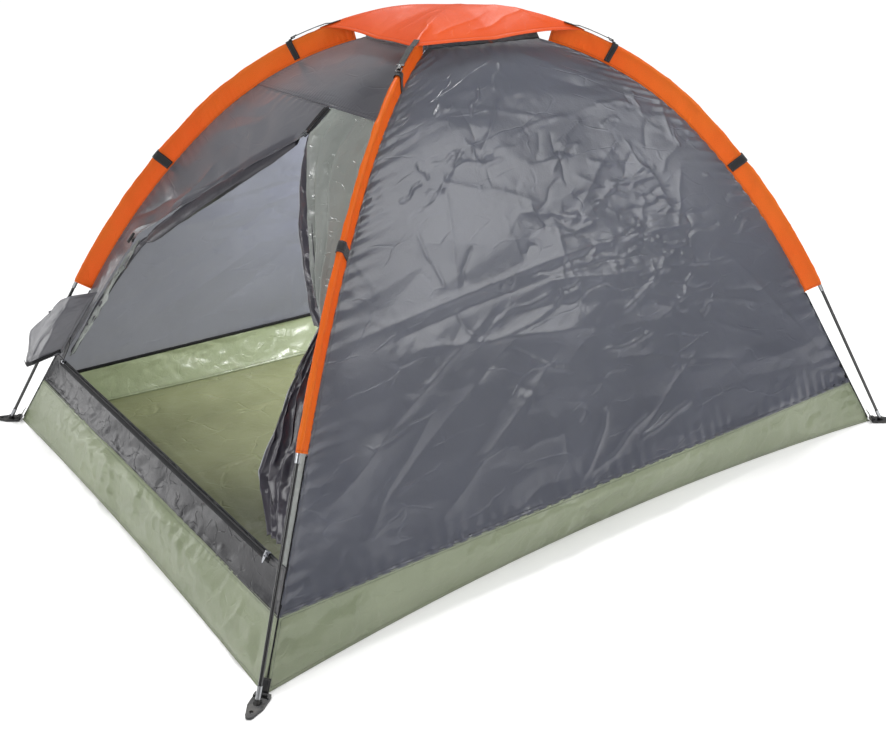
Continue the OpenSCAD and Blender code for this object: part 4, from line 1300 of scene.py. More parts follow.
    def over_door(self) -> None:
        """Sews the short panel above the door, gathered on its lower seam."""
        looks = Wrinkles(
            seed=21, swell=0.0022, swell_size=0.09, facet=0.0018, facet_size=0.05, pucker=0.0030,
            pucker_size=0.011, pucker_reach=0.014,
        )
        points = panel_grid(Facing.FRONT, SEAM_H - 0.002, ROOF_H, 0.003, out=0.0006)
        # Painted shade: the panel takes the darker front cloth.
        self.sheet(
            "front_panel_cloth", points, SHADED_FRONT_WALL, "wall_fabric", "hung", ["sleeve_near", "sleeve_left"],
            ["front_panel"], wrinkles=looks,
        )

    def vent(self) -> None:
        """Stretches the netting under the cap."""
        arch = PITCH.arch(0)
        turns = np.linspace(0, math.radians(13.8), 300)
        puff = np.clip((1 - turns / turns[-1]) / 0.16, 0, 1)
        reach, height = arch.point(turns, -PITCH.fin + 0.027 * puff * (2 - puff))
        t = np.linspace(-1, 1, 64)
        u, v = np.meshgrid(t, t)
        r = float(reach[-1])
        z = np.interp(np.maximum(np.abs(u), np.abs(v)) * r, reach, height)
        points = np.stack([u * r * PITCH.share_x, v * r * PITCH.share_y, z], -1)
        looks = Wrinkles(seed=9, sag=0.006, swell=0.0016, swell_size=0.07, pucker=0.001, pucker_size=0.02)
        self.sheet(
            "vent_netting", points, NET, "net", "stretched", ["wall_right", "wall_left"], ["vent_mesh"],
            wrinkles=looks, thickness=0.0006,
        )

    def build(self) -> None:
        """Builds the walls."""
        self.side(Facing.RIGHT, "wall_right", self.fine)
        self.side(Facing.LEFT, "wall_left", self.coarse)
        self.rear()
        self.over_door()
        self.vent()


# ---- sleeves, poles and feet ----------------------------------------------------------------------------


@dataclass
class Arches(SubAssembly):
    """The crossing poles in their sleeves, with webbing bands and the four feet."""

    sleeve_slack: float = 0.0011
    band_turn: float = math.radians(47.7)
    band_width: float = 0.025
    ring_turn: float = math.radians(25.4)
    ring_width: float = 0.016

    def sleeves(self) -> None:
        """Folds the four orange sleeves over the poles."""
        for arm in Arm:
            points = fold_grid(arm, PITCH.sleeve_start - 0.02, PITCH.leg_slope - 0.0004, pitch=0.0042)
            looks = Wrinkles(
                seed=120 + 7 * arm.value[0] + arm.value[1], swell=self.sleeve_slack, swell_size=0.034,
                facet=0.0008, facet_size=0.018, facet_stretch=1.0, pucker=0.0009, pucker_size=0.013,
                pucker_reach=0.018,
            )
            # Painted light: the sleeves take the lighter orange cloth.
            self.sheet(
                f"sleeve_{arm.name.lower()}_cloth", points, LIT_ORANGE, "orange_fabric", "folded",
                ["pole_a", "pole_b"], [f"sleeve_{arm.name.lower()}"], wrinkles=looks, thickness=0.0006,
                open_sides="bt", hem=0.0,
            )

    def bands(self) -> None:
        """Folds the webbing bands over the sleeves."""
        for kind, turn, width, node in (
            ("guy", self.band_turn, self.band_width, "guy_bands"),
            ("ring", self.ring_turn, self.ring_width, "ring_bands"),
        ):
            for arm in Arm:
                arch = PITCH.arch_of(arm)
                half = width / 2 / (arch.side_r if turn > arch.top_turn else arch.top_r)
                points = fold_grid(arm, turn - half, turn + half, 0.0022, 0.040, 0.0025)
                self.sheet(
                    f"{kind}_band_{arm.name.lower()}", points, WEBBING, "webbing", "folded",
                    [f"sleeve_{arm.name.lower()}"], [node] if arm is Arm.NEAR else [],
                    wrinkles=Wrinkles(seed=7, swell=0.0004, swell_size=0.012), thickness=0.0014,
                    open_sides="bt",
                )

    def foot_loops(self) -> None:
        """Sews the webbing loops that join the floor's corners to the feet."""
        inner, low, high, tail = PITCH.half_diag - 0.024, 0.0012, 0.0107, 0.022
        for arm in Arm:
            loop = [
                (inner + 0.003, high), (inner + 0.0072, high), (inner + 0.0076, low), (inner - 0.0010, low),
                (inner - 0.0011, high), (inner - 0.0160, high + tail),
            ]
            path = resample(loop, 0.0012, rounded=3)
            flat = PITCH.on_arm(arm, path[:, 0], 0 * path[:, 0], np.maximum(path[:, 1], 0.0009))
            side = np.array([-arm.value[1] * PITCH.share_y, arm.value[0] * PITCH.share_x, 0.0])
            self.sheet(
                f"foot_loop_{arm.name.lower()}", ribbon_grid(flat, side, 0.022), WEBBING, "webbing",
                "folded", ["feet"], ["foot_webbings"] if arm is Arm.NEAR else [],
                wrinkles=Wrinkles(seed=4, swell=0.0003, swell_size=0.01), thickness=0.0013,
            )

    def build(self) -> None:
        """Builds the sleeves and dresses the hard parts."""
        self.sleeves()
        self.bands()
        self.foot_loops()
        self.dress(FIBREGLASS, "pole_a", "pole_b")
        self.dress(STEEL, "ferrules_a", "ferrules_b", "pole_tips", "foot_pins")
        self.dress(PLASTIC, "feet", "strap_rings", "cap_hooks", "tie_toggle", "pull_left")
        self.dress(ZIP_METAL, "slider_top", "pull_top", "slider_left", "slider_right", "pull_right")


# ---- cap --------------------------------------------------------------------------------------------------


@dataclass
class Cap(SubAssembly):
    """The small orange cover over the vent, held down by elastic straps and hooks."""

    turn: float = math.radians(18.9)
    lift: float = 0.0114
    bow: float = 0.08
    strap_width: float = 0.014
    strap_off: float = 0.0129
    ring_turn: float = math.radians(25.4)
    hook_back: float = 0.0235
    corner_drop: float = 0.0045
    rivet_back: float = 0.018
    rivet_lift: float = 0.0142
    rivet_radii: tuple[float, ...] = (0.0017, 0.0016, 0.0011, 0.0003)
    rivet_sides: int = 12
    count: int = 150

    def cover(self) -> None:
        """Lays the cover over the crossing, ridged over the poles and puckered at its corners."""
        arch = PITCH.arch(0)
        turns = np.linspace(0, self.turn * 1.25, 400)
        reach, height = arch.point(turns, self.lift)
        cap_r = float(arch.point(self.turn)[0])
        t = np.linspace(-1, 1, self.count)
        u, v = np.meshgrid(t, t)
        far, near = np.maximum(np.abs(u), np.abs(v)), np.minimum(np.abs(u), np.abs(v))
        safe = np.maximum(far, 1e-6)
        k = 1 - self.bow * (1 - (near / safe) ** 2)
        twist = u * v / safe**2 * np.minimum(1, 3 * far)
        ridge = np.sqrt(near**2 + 0.0009) / np.sqrt(safe**2 + 0.0009)
        long = 1 + 0.070 * np.clip(u * v, 0, 1) ** 2 * (near / safe) ** 4
        k = k * long
        z = np.interp(far * k * cap_r, reach, height) + PITCH.cross_gap / 2 * twist
        z = z - 0.018 * far * (1 - ridge) ** 0.8 * np.clip(far * 2, 0, 1) - self.corner_drop * far**6
        points = np.stack([u * k * cap_r * PITCH.share_x, v * k * cap_r * PITCH.share_y, z], -1)
        strokes = (
            ((-0.17, 0.02), (-0.05, 0.16), 0.0020, 0.006), ((-0.17, 0.05), (-0.10, 0.24), 0.0018, 0.006),
            ((0.17, 0.03), (0.06, 0.14), 0.0022, 0.006), ((0.16, 0.08), (0.08, 0.30), 0.0016, 0.006),
            ((0.17, 0.44), (0.04, 0.32), 0.0022, 0.007), ((-0.16, 0.43), (-0.06, 0.30), 0.0020, 0.006),
            ((0.05, 0.03), (0.02, 0.20), 0.0014, 0.006), ((-0.03, 0.44), (0.03, 0.30), 0.0014, 0.006),
            ((0.10, 0.40), (0.15, 0.20), 0.0016, 0.006),
        )
        looks = Wrinkles(
            seed=211, swell=0.0008, swell_size=0.12, facet=0.0004, facet_size=0.036, facet_stretch=1.2,
            pucker=0.0012, pucker_size=0.018, pucker_reach=0.014, folds=tuple(Fold(*s) for s in strokes),
        )
        self.sheet(
            "cap_cloth", points, CAP_CLOTH, "orange_fabric", "stretched", ["pole_a", "pole_b"],
            ["cap_cover"], "vent_cap", looks, 0.0009, "lrbt", 0.011,
        )

    def straps(self) -> None:
        """Runs an elastic strap from each corner of the cover to its hook."""
        for arm in Arm:
            arch = PITCH.arch_of(arm)
            end = self.ring_turn - self.hook_back / arch.top_r
            turns = np.linspace(self.turn - 0.035, end, 34)
            under = np.clip((turns - self.turn) / 0.012 + 0.5, 0, 1)
            reach, height = arch.point(turns, self.lift - 0.0018 + (self.strap_off - self.lift + 0.0018) * under)
            path = PITCH.on_arm(arm, reach, 0.0, height)
            side = np.array([-arm.value[1] * PITCH.share_y, arm.value[0] * PITCH.share_x, 0.0])
            self.sheet(
                f"cap_strap_{arm.name.lower()}", ribbon_grid(path, side, self.strap_width), ELASTIC,
                "elastic", "stretched", ["cap_hooks"], ["cap_straps"] if arm is Arm.NEAR else [],
                "vent_cap", Wrinkles(seed=13, swell=0.0003, swell_size=0.01), 0.0012, "lrbt",
            )

    def rivets(self) -> None:
        """Sets a small steel rivet in each hook."""
        for arm in Arm:
            arch = PITCH.arch_of(arm)
            turn = self.ring_turn - self.rivet_back / arch.top_r
            rise = np.array([0.0, 0.0007, 0.0011, 0.0013])
            away, up = arch.point(turn + 0 * rise, self.rivet_lift + rise)
            path = PITCH.on_arm(arm, away, 0.0, up)
            name = f"hook_rivet_{arm.name.lower()}"
            rivet = tube(name, path, list(self.rivet_radii), self.palette.of(ZIP_METAL), self.rivet_sides)
            fit(rivet, "vent_cap", "steel")

    def build(self) -> None:
        """Builds the cap."""
        self.cover()
        self.straps()
        self.rivets()


# ---- door -------------------------------------------------------------------------------------------------


@dataclass
class Door(SubAssembly):
    """The open door: its threshold, zips, gathered right flap, rolled left flap and loose tail."""

    zip_out: float = 0.0044
    coil_r: float = 0.0019
    strip_width: float = 0.024
    gap: float = 0.0275
    neck: float = 0.046
    roll_flat: float = 2.1

    @property
    def left_edge(self) -> Array:
        """The opening's left edge as distance along the front wall and height."""
        middle = PITCH.seam_end()[1] + 0.021
        return np.array([
            (-DOOR_HALF, THRESHOLD_H), (-in_from_seam(middle, 0.062), middle),
            (-in_from_seam(TIE_H, 0.078), TIE_H), (ZIP_X, DOOR_TOP_H), (ZIP_X, SEAM_H),
        ])

    @property
    def right_edge(self) -> Array:
        """The gusset's free edge as distance along the front wall and height, from the neck up."""
        return np.array([
            (in_from_seam(NECK_H, self.neck), NECK_H), (ZIP_X + 0.212, DOOR_TOP_H - 0.158),
            (ZIP_X, DOOR_TOP_H), (ZIP_X + 0.004, SEAM_H - 0.004),
        ])

    def threshold(self) -> None:
        """Lays the glossy threshold strip, sagging between its ends."""
        looks = Wrinkles(
            seed=151, sag=0.004, swell=0.0040, swell_size=0.13, facet=0.0050, facet_size=0.060,
            facet_stretch=1.6, crumple=0.0016, crumple_size=0.022, pucker=0.0008, pucker_size=0.040,
            pucker_reach=0.014,
        )
        points = panel_grid(Facing.FRONT, TUB_H - 0.0015, THRESHOLD_H, 0.0045)
        self.sheet(
            "threshold_cloth", points, THRESHOLD, "dark_fabric", "hung", ["tub_front"], ["threshold"],
            wrinkles=looks,
        )

    def strips(self) -> None:
        """Lays the narrow strips of wall beside the opening."""
        edge = self.left_edge
        looks = Wrinkles(
            seed=163, sag=0.004, swell=0.0030, swell_size=0.10, facet=0.0030, facet_size=0.06,
            facet_stretch=1.5, crumple=0.0006, crumple_size=0.02, pucker=0.0018, pucker_size=0.028,
            pucker_reach=0.024,
            folds=(
                Fold((0.10, 0.62), (0.02, 0.80), 0.004, 0.014), Fold((0.05, 0.60), (0.12, 0.86), 0.003, 0.012),
                Fold((-0.06, 0.46), (0.05, 0.66), -0.003, 0.012), Fold((0.0, 0.44), (0.14, 0.70), 0.003, 0.01),
            ),
        )
        points = panel_grid(
            Facing.FRONT, THRESHOLD_H, SEAM_H - 0.0005, 0.006,
            lambda z: (-Facing.FRONT.half_width(z), np.interp(z, edge[:, 1], edge[:, 0])),
        )
        # Painted shade: the left strip takes the darker front cloth.
        self.sheet(
            "front_left_cloth", points, SHADED_FRONT_WALL, "wall_fabric", "hung", ["sleeve_left"],
            ["front_strip_left"], wrinkles=looks, open_sides="r",
        )
        points = panel_grid(
            Facing.FRONT, THRESHOLD_H, SEAM_H - 0.0005, 0.0045,
            lambda z: (in_from_seam(z, self.strip_width), Facing.FRONT.half_width(z)),
        )
        # Painted light: the right strip takes the lighter door cloth, for the light that shines through it.
        self.sheet(
            "front_right_cloth", points, LIT_DOOR_CLOTH, "wall_fabric", "hung", ["sleeve_near"],
            ["front_strip_right"],
            wrinkles=Wrinkles(seed=167, swell=0.0014, swell_size=0.05, pucker=0.0012, pucker_size=0.02),
        )

    def gusset(self) -> None:
        """Gathers the cloth right of the upright zip into folds that run down to the neck."""
        edge = self.right_edge
        z = levels(Facing.FRONT, NECK_H, SEAM_H - 0.002, 0.0035)
        left = np.interp(z, edge[:, 1], edge[:, 0])
        right = in_from_seam(z, self.gap - 0.003)
        t = np.linspace(0, 1, 110)[None, :]
        along = left[:, None] * (1 - t) + right[:, None] * t
        wide = (right - left)[:, None]
        run = (z[:, None] - NECK_H) / (SEAM_H - NECK_H)
        wander = 0.30 * smooth_noise(2.2 * t + 0 * run, 3.0 * run + 0 * t, 171)
        depth = np.minimum(0.019, 0.20 * wide) * (1 - 0.4 * run) * np.clip((1 - run) / 0.2, 0, 1)
        folds = depth * np.sin(2 * math.pi * (3.1 * t**0.8 + wander)) * np.clip((1 - t) * 7, 0, 1)
        folds = folds + 0.3 * depth * np.sin(2 * math.pi * (5.3 * t + 2 * wander)) * np.clip((1 - t) * 9, 0, 1)
        curl = -0.016 * np.exp(-t * wide / 0.012) * np.clip((1 - run) / 0.25, 0, 1)
        points = Facing.FRONT.place(along, z[:, None] + 0 * t, -0.001 + folds * 0.8 + curl)
        looks = Wrinkles(
            seed=173, facet=0.0022, facet_size=0.050, facet_stretch=0.5, crumple=0.0004,
            crumple_size=0.014, pucker=0.0014, pucker_size=0.010, pucker_reach=0.010,
        )
        # Painted light: the gusset takes the lighter door cloth, for the light that shines through it.
        self.sheet(
            "gusset_cloth", points, LIT_DOOR_CLOTH, "wall_fabric", "gathered", ["sleeve_near", "front_panel"],
            ["front_gusset"], wrinkles=looks, open_sides="l",
        )

    def turned_edge(self) -> None:
        """Turns the gusset's free edge in: a crumpled band that ends in the zip's tape. The band is the dark hem tape,
        widened and painted nearly black as the shade of the fold; the zip's tape is painted pale as a glint.
        """
        edge = resample(self.right_edge[:3], 0.0035, rounded=12)
        run = np.linspace(0, 1, len(edge))
        zigzag = 0.007 * facet_noise(run * 9, 0 * run, 179) * np.clip(run * (1 - run) * 12, 0, 1)
        width = 0.018 + 0.050 * np.sin(math.pi * np.clip(run * 0.9 + 0.08, 0, 1)) ** 0.7
        t = np.linspace(0, 1, 14)[None, :]
        along = edge[:, :1] + 0.010 - (width + zigzag)[:, None] * t
        z = edge[:, 1:] + 0 * t - 0.010 * t * (1 - run[:, None])
        crumple = 0.007 * facet_noise(run[:, None] * 16 + 0 * t, 2.2 * t + 0 * run[:, None], 181)
        bulge = np.sin(math.pi * t)
        points = Facing.FRONT.place(along, z, -0.005 - 0.010 * t + (0.003 + crumple) * bulge)
        self.sheet(
            "gusset_turned_edge", points[:, ::-1], SHADED_BUNCH, "dark_fabric", "gathered", ["front_gusset"],
            ["gusset_hem"], wrinkles=Wrinkles(seed=183, crumple=0.0010, crumple_size=0.011),
            open_sides="lr", hem=0.004,
        )
        # Painted highlight: the pale zip row stands in for the glint on the edge.
        rail = points[:, -1] + np.array([0, -0.0008, 0])
        beads = 0.0011 + 0.00035 * np.sign(np.sin(np.arange(len(rail)) * math.pi))
        coil = tube("gusset_zip_row", rail, beads, self.palette.of(GLINT_TAPE), 8, 0.7)
        fit(coil, "tent", "zip_nylon")

    def right_flap(self) -> None:
        """Bunches the right flap below the neck."""
        low, high = THRESHOLD_H + 0.020, NECK_H + 0.004
        at = np.array([low, 0.270, 0.314, 0.395, 0.476, 0.560, high])
        widths = np.interp(at, [low, 0.314, 0.476, high], [0.090, 0.168, 0.116, self.neck])
        z = levels(Facing.FRONT, low, high, 0.0035)
        width = np.interp(z, at, widths) + 0.006 * smooth_noise(z / 0.05, 0 * z, 191)
        right = in_from_seam(z, self.gap)
        left = in_from_seam(z, 0.0) - width
        t = np.linspace(0, 1, 150)[None, :]
        run = ((z - low) / (high - low))[:, None]
        phase = 3.1 * t**0.8 + 0.75 * smooth_noise(1.7 * t + 0 * run, 3.0 * run + 0 * t, 193)
        full = np.sin(math.pi * np.clip(run * 0.93 + 0.04, 0, 1)) ** 0.6
        unevenness = 0.0045 * smooth_noise(6 * t + 0 * run, 7 * run + 0 * t, 271)
        folds = full * (0.0085 * np.sin(2 * math.pi * phase) + unevenness)
        folds = folds * np.clip(t * 14, 0, 1) * np.clip((1 - t) * 10, 0, 1)
        sway = 0.004 * full * np.cos(2 * math.pi * phase)
        along = left[:, None] * (1 - t) + right[:, None] * t + sway
        points = Facing.FRONT.place(along, z[:, None] + 0 * t, -0.008 + folds)
        looks = Wrinkles(
            seed=197, facet=0.0075, facet_size=0.050, facet_stretch=0.8, crumple=0.0018,
            crumple_size=0.013,
        )
        # Painted shade: the flap takes the nearly black bunched cloth. Painted highlight: its zip tape is pale.
        cloth = lay_sheet("right_flap_cloth", points, self.palette.of(SHADED_BUNCH), looks, 0.0007, "lb", 0.004)
        rail = points[:, 0] + np.array([0, -0.0012, 0])
        hem = tube("right_flap_zip_tape", rail, 0.0021, self.palette.of(GLINT_TAPE), 8, 0.5)
        start = Facing.FRONT.place(np.array(0.478), np.array(0.606))
        end = Facing.FRONT.place(np.array(0.506), np.array(0.530))
        for piece, slot, node in ((cloth, "wall_fabric", "flap_right"), (hem, "black_tape", "flap_right_hem")):
            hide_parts(node)
            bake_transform(piece)
            LOG.info("%s bends between the tent and the flap", piece.name)
        declare(cloth)

    def left_roll(self) -> None:
        """Rolls the left flap up inside the opening's upper left edge."""
        edge = self.left_edge
        offsets = ((0.012, 0.020), (0.010, 0.0), (0.016, -0.020), (-0.040, -0.024))
        knots = [edge[i] + offset for i, offset in enumerate(offsets)]
        path = resample(knots, 0.004, rounded=8)
        run = np.linspace(0, 1, len(path))
        tie = float(np.argmin(np.abs(path[:, 1] - TIE_H))) / len(path)
        above = np.sin(math.pi * np.clip((run - tie) / (1 - tie) * 0.86 + 0.12, 0, 1)) ** 0.45
        below = 0.30 + 0.14 * smooth_noise(run * 13, 0 * run, 269)
        swell = np.where(run < tie, below, above)
        radius = (0.0034 + 0.0104 * swell) * (1 - 0.40 * np.exp(-((run - tie) / 0.02) ** 2))
        t = np.linspace(0, 1, 90)[None, :]
        angle = 2 * math.pi * (1.7 * t - 0.30) + 0.5 * smooth_noise(run * 5, 0 * run, 223)[:, None]
        spiral = radius[:, None] * (1.0 - 0.55 * t) * (
            1 + 0.10 * np.sin(angle * 3 + 7 * run[:, None]) + 0.10 * smooth_noise(run[:, None] * 26 + 0 * t, angle, 227)
        )
        tangent = np.gradient(path, axis=0)
        tangent /= np.linalg.norm(tangent, axis=1, keepdims=True)
        across = np.stack([tangent[:, 1], -tangent[:, 0]], -1)
        along = path[:, :1] + across[:, :1] * spiral * self.roll_flat * np.cos(angle)
        z = path[:, 1:] + across[:, 1:] * spiral * self.roll_flat * np.cos(angle)
        points = Facing.FRONT.place(along, z, -0.0165 - spiral * np.sin(angle))
        # Painted shade: the roll takes the dark rolled cloth.
        self.sheet(
            "left_flap_roll", points, SHADED_ROLL, "wall_fabric", "folded", ["front_strip_left", "tie_loop"],
            ["flap_left_roll"], wrinkles=Wrinkles(seed=229, crumple=0.0007, crumple_size=0.010),
            thickness=0.0006, open_sides="lrbt",
        )
        lip = points[:, 0]
        # Painted highlight: a pale line along the roll's lip stands in for the glint on its edge.
        glint_line = tube("left_flap_glint_line", lip[6:-6], 0.0008, self.palette.of(GLINT_TAPE), 8)
        fit(glint_line, "tent", "zip_nylon")

    def sliver(self) -> None:
        """Leaves a crumpled edge of the left flap showing below the tie, painted pale for the light that shines through
        it.
        """
        edge = self.left_edge
        path = resample([edge[2] + (0.004, -0.012), edge[1] + (0.004, 0.0), edge[0] + (0.020, 0.012)], 0.003, 10)
        run = np.linspace(0, 1, len(path))
        width = 0.010 + 0.020 * np.sin(math.pi * run) + 0.007 * facet_noise(run * 11, 0 * run, 251)
        t = np.linspace(0, 1, 16)[None, :]
        along = path[:, :1] - 0.004 + width[:, None] * t
        z = path[:, 1:] - 0.35 * width[:, None] * t
        crumple = 0.006 * facet_noise(run[:, None] * 17 + 0 * t, 2.4 * t + 0 * run[:, None], 257)
        points = Facing.FRONT.place(along, z, -0.010 + crumple * np.sin(math.pi * t * 0.9))
        self.sheet(
            "left_flap_edge", points[::-1], LIT_DOOR_CLOTH, "wall_fabric", "hung", ["left_flap_roll"],
            wrinkles=Wrinkles(seed=263, crumple=0.0010, crumple_size=0.009), thickness=0.0005,
            open_sides="lrbt",
        )

    def tie(self) -> None:
        """Loops the tie tape round the roll's wall side."""
        knot = np.array([-in_from_seam(TIE_H, 0.078), TIE_H - 0.012])
        outline = [(-0.026, 0.0018), (0.0, 0.0018), (0.003, 0.0022), (0.0036, 0.0072), (0.0020, 0.0080)]
        path = resample(outline, 0.0012, rounded=2)
        middle = Facing.FRONT.place(knot[0] + path[:, 0], knot[1] + 0 * path[:, 0], path[:, 1])
        points = ribbon_grid(middle, np.array([0.0, 0.45, 0.89]), 0.0104)
        self.sheet(
            "tie_tape", points[:, ::-1], WEBBING, "webbing", "folded", ["front_strip_left"],
            ["tie_loop"], thickness=0.0011,
        )

    def tail(self) -> None:
        """Folds the flap's loose tail out over the left pole."""
        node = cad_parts["flap_tail"]
        low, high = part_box("flap_tail")

        def beside(z: float, dx: float, dy: float) -> Array:
            """A point beside the left pole's leg."""
            reach = PITCH.half_diag - (z - PITCH.pole_end) / math.tan(PITCH.leg_slope)
            return np.array([-reach * PITCH.share_x + dx, -reach * PITCH.share_y + dy, z])

        out = 0.013
        middle = PITCH.seam_end()[1] + 0.021
        inner = [
            (-DOOR_HALF - 0.008, THRESHOLD_H + 0.014), (-0.577, 0.320),
            (-in_from_seam(middle, 0.062) - 0.014, middle - 0.014),
        ]
        rows = [
            [Facing.FRONT.place(np.array(x), np.array(z), 0.004) for x, z in inner],
            [
                beside(THRESHOLD_H - 0.020, 0.026, -out - 0.006),
                beside(0.300, 0.030, -out - 0.003),
                beside(0.395, 0.030, -out),
            ],
            [
                beside(THRESHOLD_H - 0.040, -0.006, -out - 0.007),
                beside(0.280, -0.016, -out - 0.008),
                beside(0.372, -0.010, -out - 0.002),
            ],
            [
                beside(THRESHOLD_H - 0.036, -0.024, -out - 0.008),
                beside(0.262, -0.076, -out - 0.018),
                beside(0.330, -0.034, -out - 0.008),
            ],
        ]
        control = np.array(rows, float)
        v = np.linspace(0, 2, 70)
        u = np.linspace(0, 3, 64)
        along = np.stack([
            np.stack([np.interp(v, [0, 1, 2], row[:, k]) for k in range(3)], -1) for row in control
        ])
        grid = np.stack([
            np.stack([np.interp(u, [0, 1, 2, 3], along[:, j, k]) for k in range(3)], -1) for j in range(len(v))
        ])
        for _ in range(10):
            grid[1:-1] = (grid[:-2] + 2 * grid[1:-1] + grid[2:]) / 4
            grid[:, 1:-1] = (grid[:, :-2] + 2 * grid[:, 1:-1] + grid[:, 2:]) / 4
        looks = Wrinkles(
            seed=233, swell=0.0022, swell_size=0.05, facet=0.0022, facet_size=0.035, crumple=0.0006,
            crumple_size=0.012, folds=(Fold((-0.05, 0.02), (0.03, 0.20), 0.003, 0.008),),
        )
        points = grid[:, ::-1]
        # Painted shade: the tail takes the darker front cloth.
        self.sheet(
            "tail_cloth", points, SHADED_FRONT_WALL, "wall_fabric", "folded", ["pole_a"], ["flap_tail"], "left_tail",
            looks, 0.0008, "lbt",
        )
        rail = points[0, :] + np.array([0.0, -0.0040, 0.0])
        band = ribbon_grid(rail, np.array([0.25, -0.15, 0.95]), 0.013)
        self.sheet(
            "tail_hem_tape", band + np.array([0, 0, 0.005]), SHEET_TAPE, "black_tape", "folded",
            ["flap_tail"], ["tail_hem"], "left_tail", thickness=0.0012,
        )
        LOG.info("%s spans %s to %s", node.name, low, high)

    def teeth(self, name: str, path: Array, radius: float, node: str) -> None:
        """Makes a zip's row of teeth along a path."""
        beads = radius * np.where(np.arange(len(path)) % 2 == 0, 1.0, 0.72)
        row = tube(name, path, beads, self.palette.of(ZIP_NYLON), 8)
        fit(row, "tent", "zip_nylon", *([node] if node else []))

    def zips(self) -> None:
        """Runs the threshold's zip and the two rows of the short upright zip."""
        x = np.arange(-DOOR_HALF, DOOR_HALF - 0.010, 0.0009)
        z = THRESHOLD_H - 0.0028 + 0 * x
        self.teeth("threshold_teeth", Facing.FRONT.place(x, z, self.zip_out), self.coil_r, "threshold_zip")
        z = levels(Facing.FRONT, THRESHOLD_H - 0.016, THRESHOLD_H - 0.003, 0.0026)
        x = np.linspace(-DOOR_HALF, DOOR_HALF - 0.010, 300)
        points = Facing.FRONT.place(x[None, :] + 0 * z[:, None], z[:, None] + 0 * x[None, :], 0.0030)
        self.sheet(
            "threshold_zip_tape", points, SHEET_TAPE, "zip_nylon", "stretched", ["threshold"],
            wrinkles=Wrinkles(seed=239, swell=0.0005, swell_size=0.05), thickness=0.0009,
        )
        z = np.arange(DOOR_TOP_H, SEAM_H, 0.0009)
        for side, sign in (("left", -1), ("right", 1)):
            path = Facing.FRONT.place(ZIP_X + sign * 0.0031 + 0 * z, z, self.zip_out)
            self.teeth(f"door_teeth_{side}", path, 0.0014, "door_zip" if sign < 0 else "")
            points = Facing.FRONT.place(
                ZIP_X + np.sort(sign * np.linspace(0.0042, 0.0142, 6))[None, :] + 0 * z[::4, None],
                z[::4, None] + np.zeros((1, 6)), 0.0032,
            )
            self.sheet(
                f"door_zip_tape_{side}", points, SHEET_TAPE, "zip_nylon", "stretched", ["front_panel"],
                thickness=0.0009,
            )

    def build(self) -> None:
        """Builds the door."""
        self.threshold()
        self.strips()
        self.gusset()
        self.turned_edge()
        self.right_flap()
        self.left_roll()
        self.sliver()
        self.tie()
        self.tail()
        self.zips()


# ---- studio -----------------------------------------------------------------------------------------------


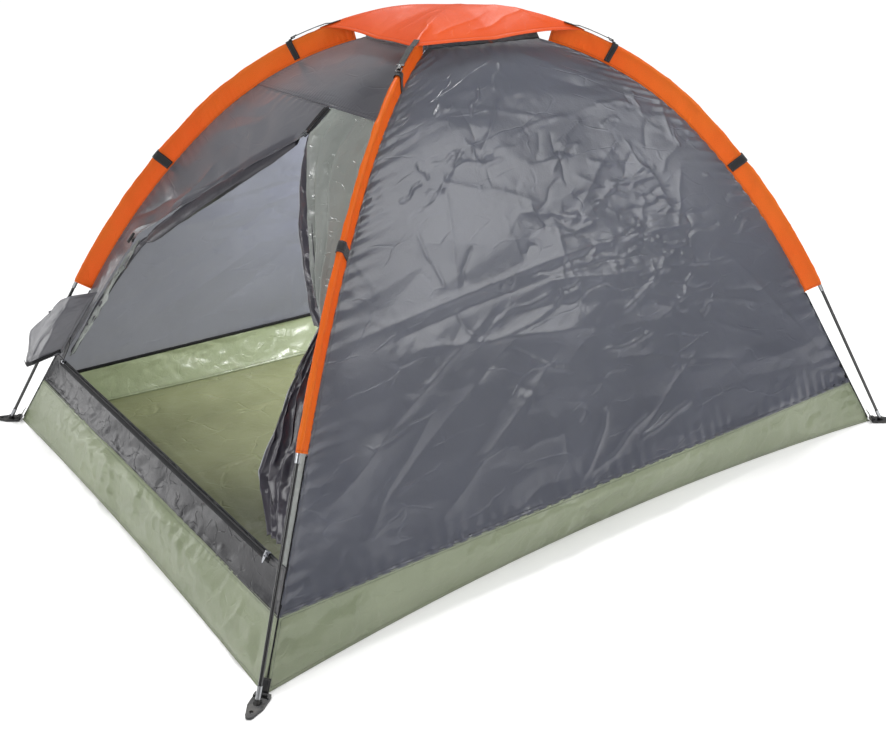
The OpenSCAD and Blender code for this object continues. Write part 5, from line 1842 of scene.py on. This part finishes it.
@dataclass(frozen=True)
class Studio:
    """A pale floor, soft overhead light and the camera."""

    azimuth: float = math.radians(52.745)
    elevation: float = math.radians(24.371)
    roll: float = math.radians(0.584)
    distance: float = 3.1755
    aim: tuple[float, float, float] = (0.0, 0.0, 0.162)
    lens: float = 44.92
    shift: float = -0.0069
    floor_half: float = 30.0
    overhead: tuple[float, float, float] = (-0.38, 0.30, 0.87)

    def camera(self) -> None:
        """Sets the camera."""
        a, e = self.azimuth, self.elevation
        back = Vector((math.sin(a) * math.cos(e), -math.cos(a) * math.cos(e), math.sin(e)))
        flat_right = Vector((math.cos(a), math.sin(a), 0.0))
        up = back.cross(flat_right)
        right = math.cos(self.roll) * flat_right + math.sin(self.roll) * up
        up = back.cross(right)
        turn = Matrix((right, up, back)).transposed().to_4x4()
        data = bpy.data.cameras.new("camera")
        data.lens, data.sensor_width, data.shift_x = self.lens, 36.0, self.shift
        camera = bpy.data.objects.new("camera", data)
        camera.matrix_world = Matrix.Translation(Vector(self.aim) + self.distance * back) @ turn
        bpy.context.scene.collection.objects.link(camera)
        bpy.context.scene.camera = camera

    def lamp(
        self, name: str, place: Sequence[float], size: float, power: float,
        target: Sequence[float] = (0, 0, 0.4),
    ) -> None:
        """Adds a square soft light that faces a target."""
        data = bpy.data.lights.new(name, "AREA")
        data.size, data.energy = size, power
        lamp = bpy.data.objects.new(name, data)
        lamp.location = place
        lamp.rotation_euler = (Vector(target) - Vector(place)).to_track_quat("-Z", "Y").to_euler()
        lamp.visible_camera = False
        bpy.context.scene.collection.objects.link(lamp)

    def sun(self, power: float, spread: float) -> None:
        """Adds the wide overhead light, a little behind and left of the tent."""
        data = bpy.data.lights.new("overhead", "SUN")
        data.energy, data.angle = power, math.radians(spread)
        lamp = bpy.data.objects.new("overhead", data)
        lamp.rotation_euler = (-Vector(self.overhead)).to_track_quat("-Z", "Y").to_euler()
        bpy.context.scene.collection.objects.link(lamp)

    def build(self) -> None:
        """Builds the studio."""
        half = self.floor_half
        corners = np.array([(-half, -half, 0), (half, -half, 0), (half, half, 0), (-half, half, 0)], float)
        floor = mesh_piece("studio_floor", corners - (0, 0, 0.0006), np.array([[0, 1, 2, 3]]))
        paper = bpy.data.materials.new("paper")
        if paper.node_tree is None:
            paper.use_nodes = True
        paper.node_tree.nodes.clear()
        g = Graph(paper.node_tree)
        main = g.add(
            "BsdfPrincipled", Base_Color=(0.93, 0.93, 0.93, 1.0), Roughness=0.9,
            Emission_Color=(1.0, 1.0, 1.0, 1.0), Emission_Strength=0.12,
        )
        g.tree.links.new(main.outputs[0], g.add("OutputMaterial").inputs["Surface"])
        floor.data.materials.append(paper)
        world = bpy.data.worlds.new("studio")
        bpy.context.scene.world = world
        if world.node_tree is None:
            world.use_nodes = True
        sky = next(n for n in world.node_tree.nodes if n.type == "BACKGROUND")
        sky.inputs["Color"].default_value = (1.0, 1.0, 1.0, 1.0)
        sky.inputs["Strength"].default_value = 0.27
        self.sun(2.6, 20.0)
        self.lamp("side_box", (2.3, 1.2, 2.4), 1.9, 46)
        self.lamp("front_box", (-2.9, -2.8, 0.7), 1.2, 16)
        self.lamp("roof_box", (0.20, 0.1, 0.70), 0.3, 22, (-0.6, 0.15, 0.62))
        self.lamp("near_box", (1.2, -3.6, 2.3), 2.0, 60)
        bpy.context.scene.view_settings.view_transform = "Standard"
        self.camera()
        LOG.info("studio set")


def main() -> None:
    """Builds the tent's looks, then the studio."""
    logging.basicConfig(level=logging.INFO, format="%(message)s")
    palette = Palette()
    for assembly in (Tub, Walls, Arches, Cap, Door):
        assembly(palette).build()
        LOG.info("%s done", assembly.__name__)
    Studio().build()
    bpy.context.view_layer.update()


if __name__ == "__main__":
    main()
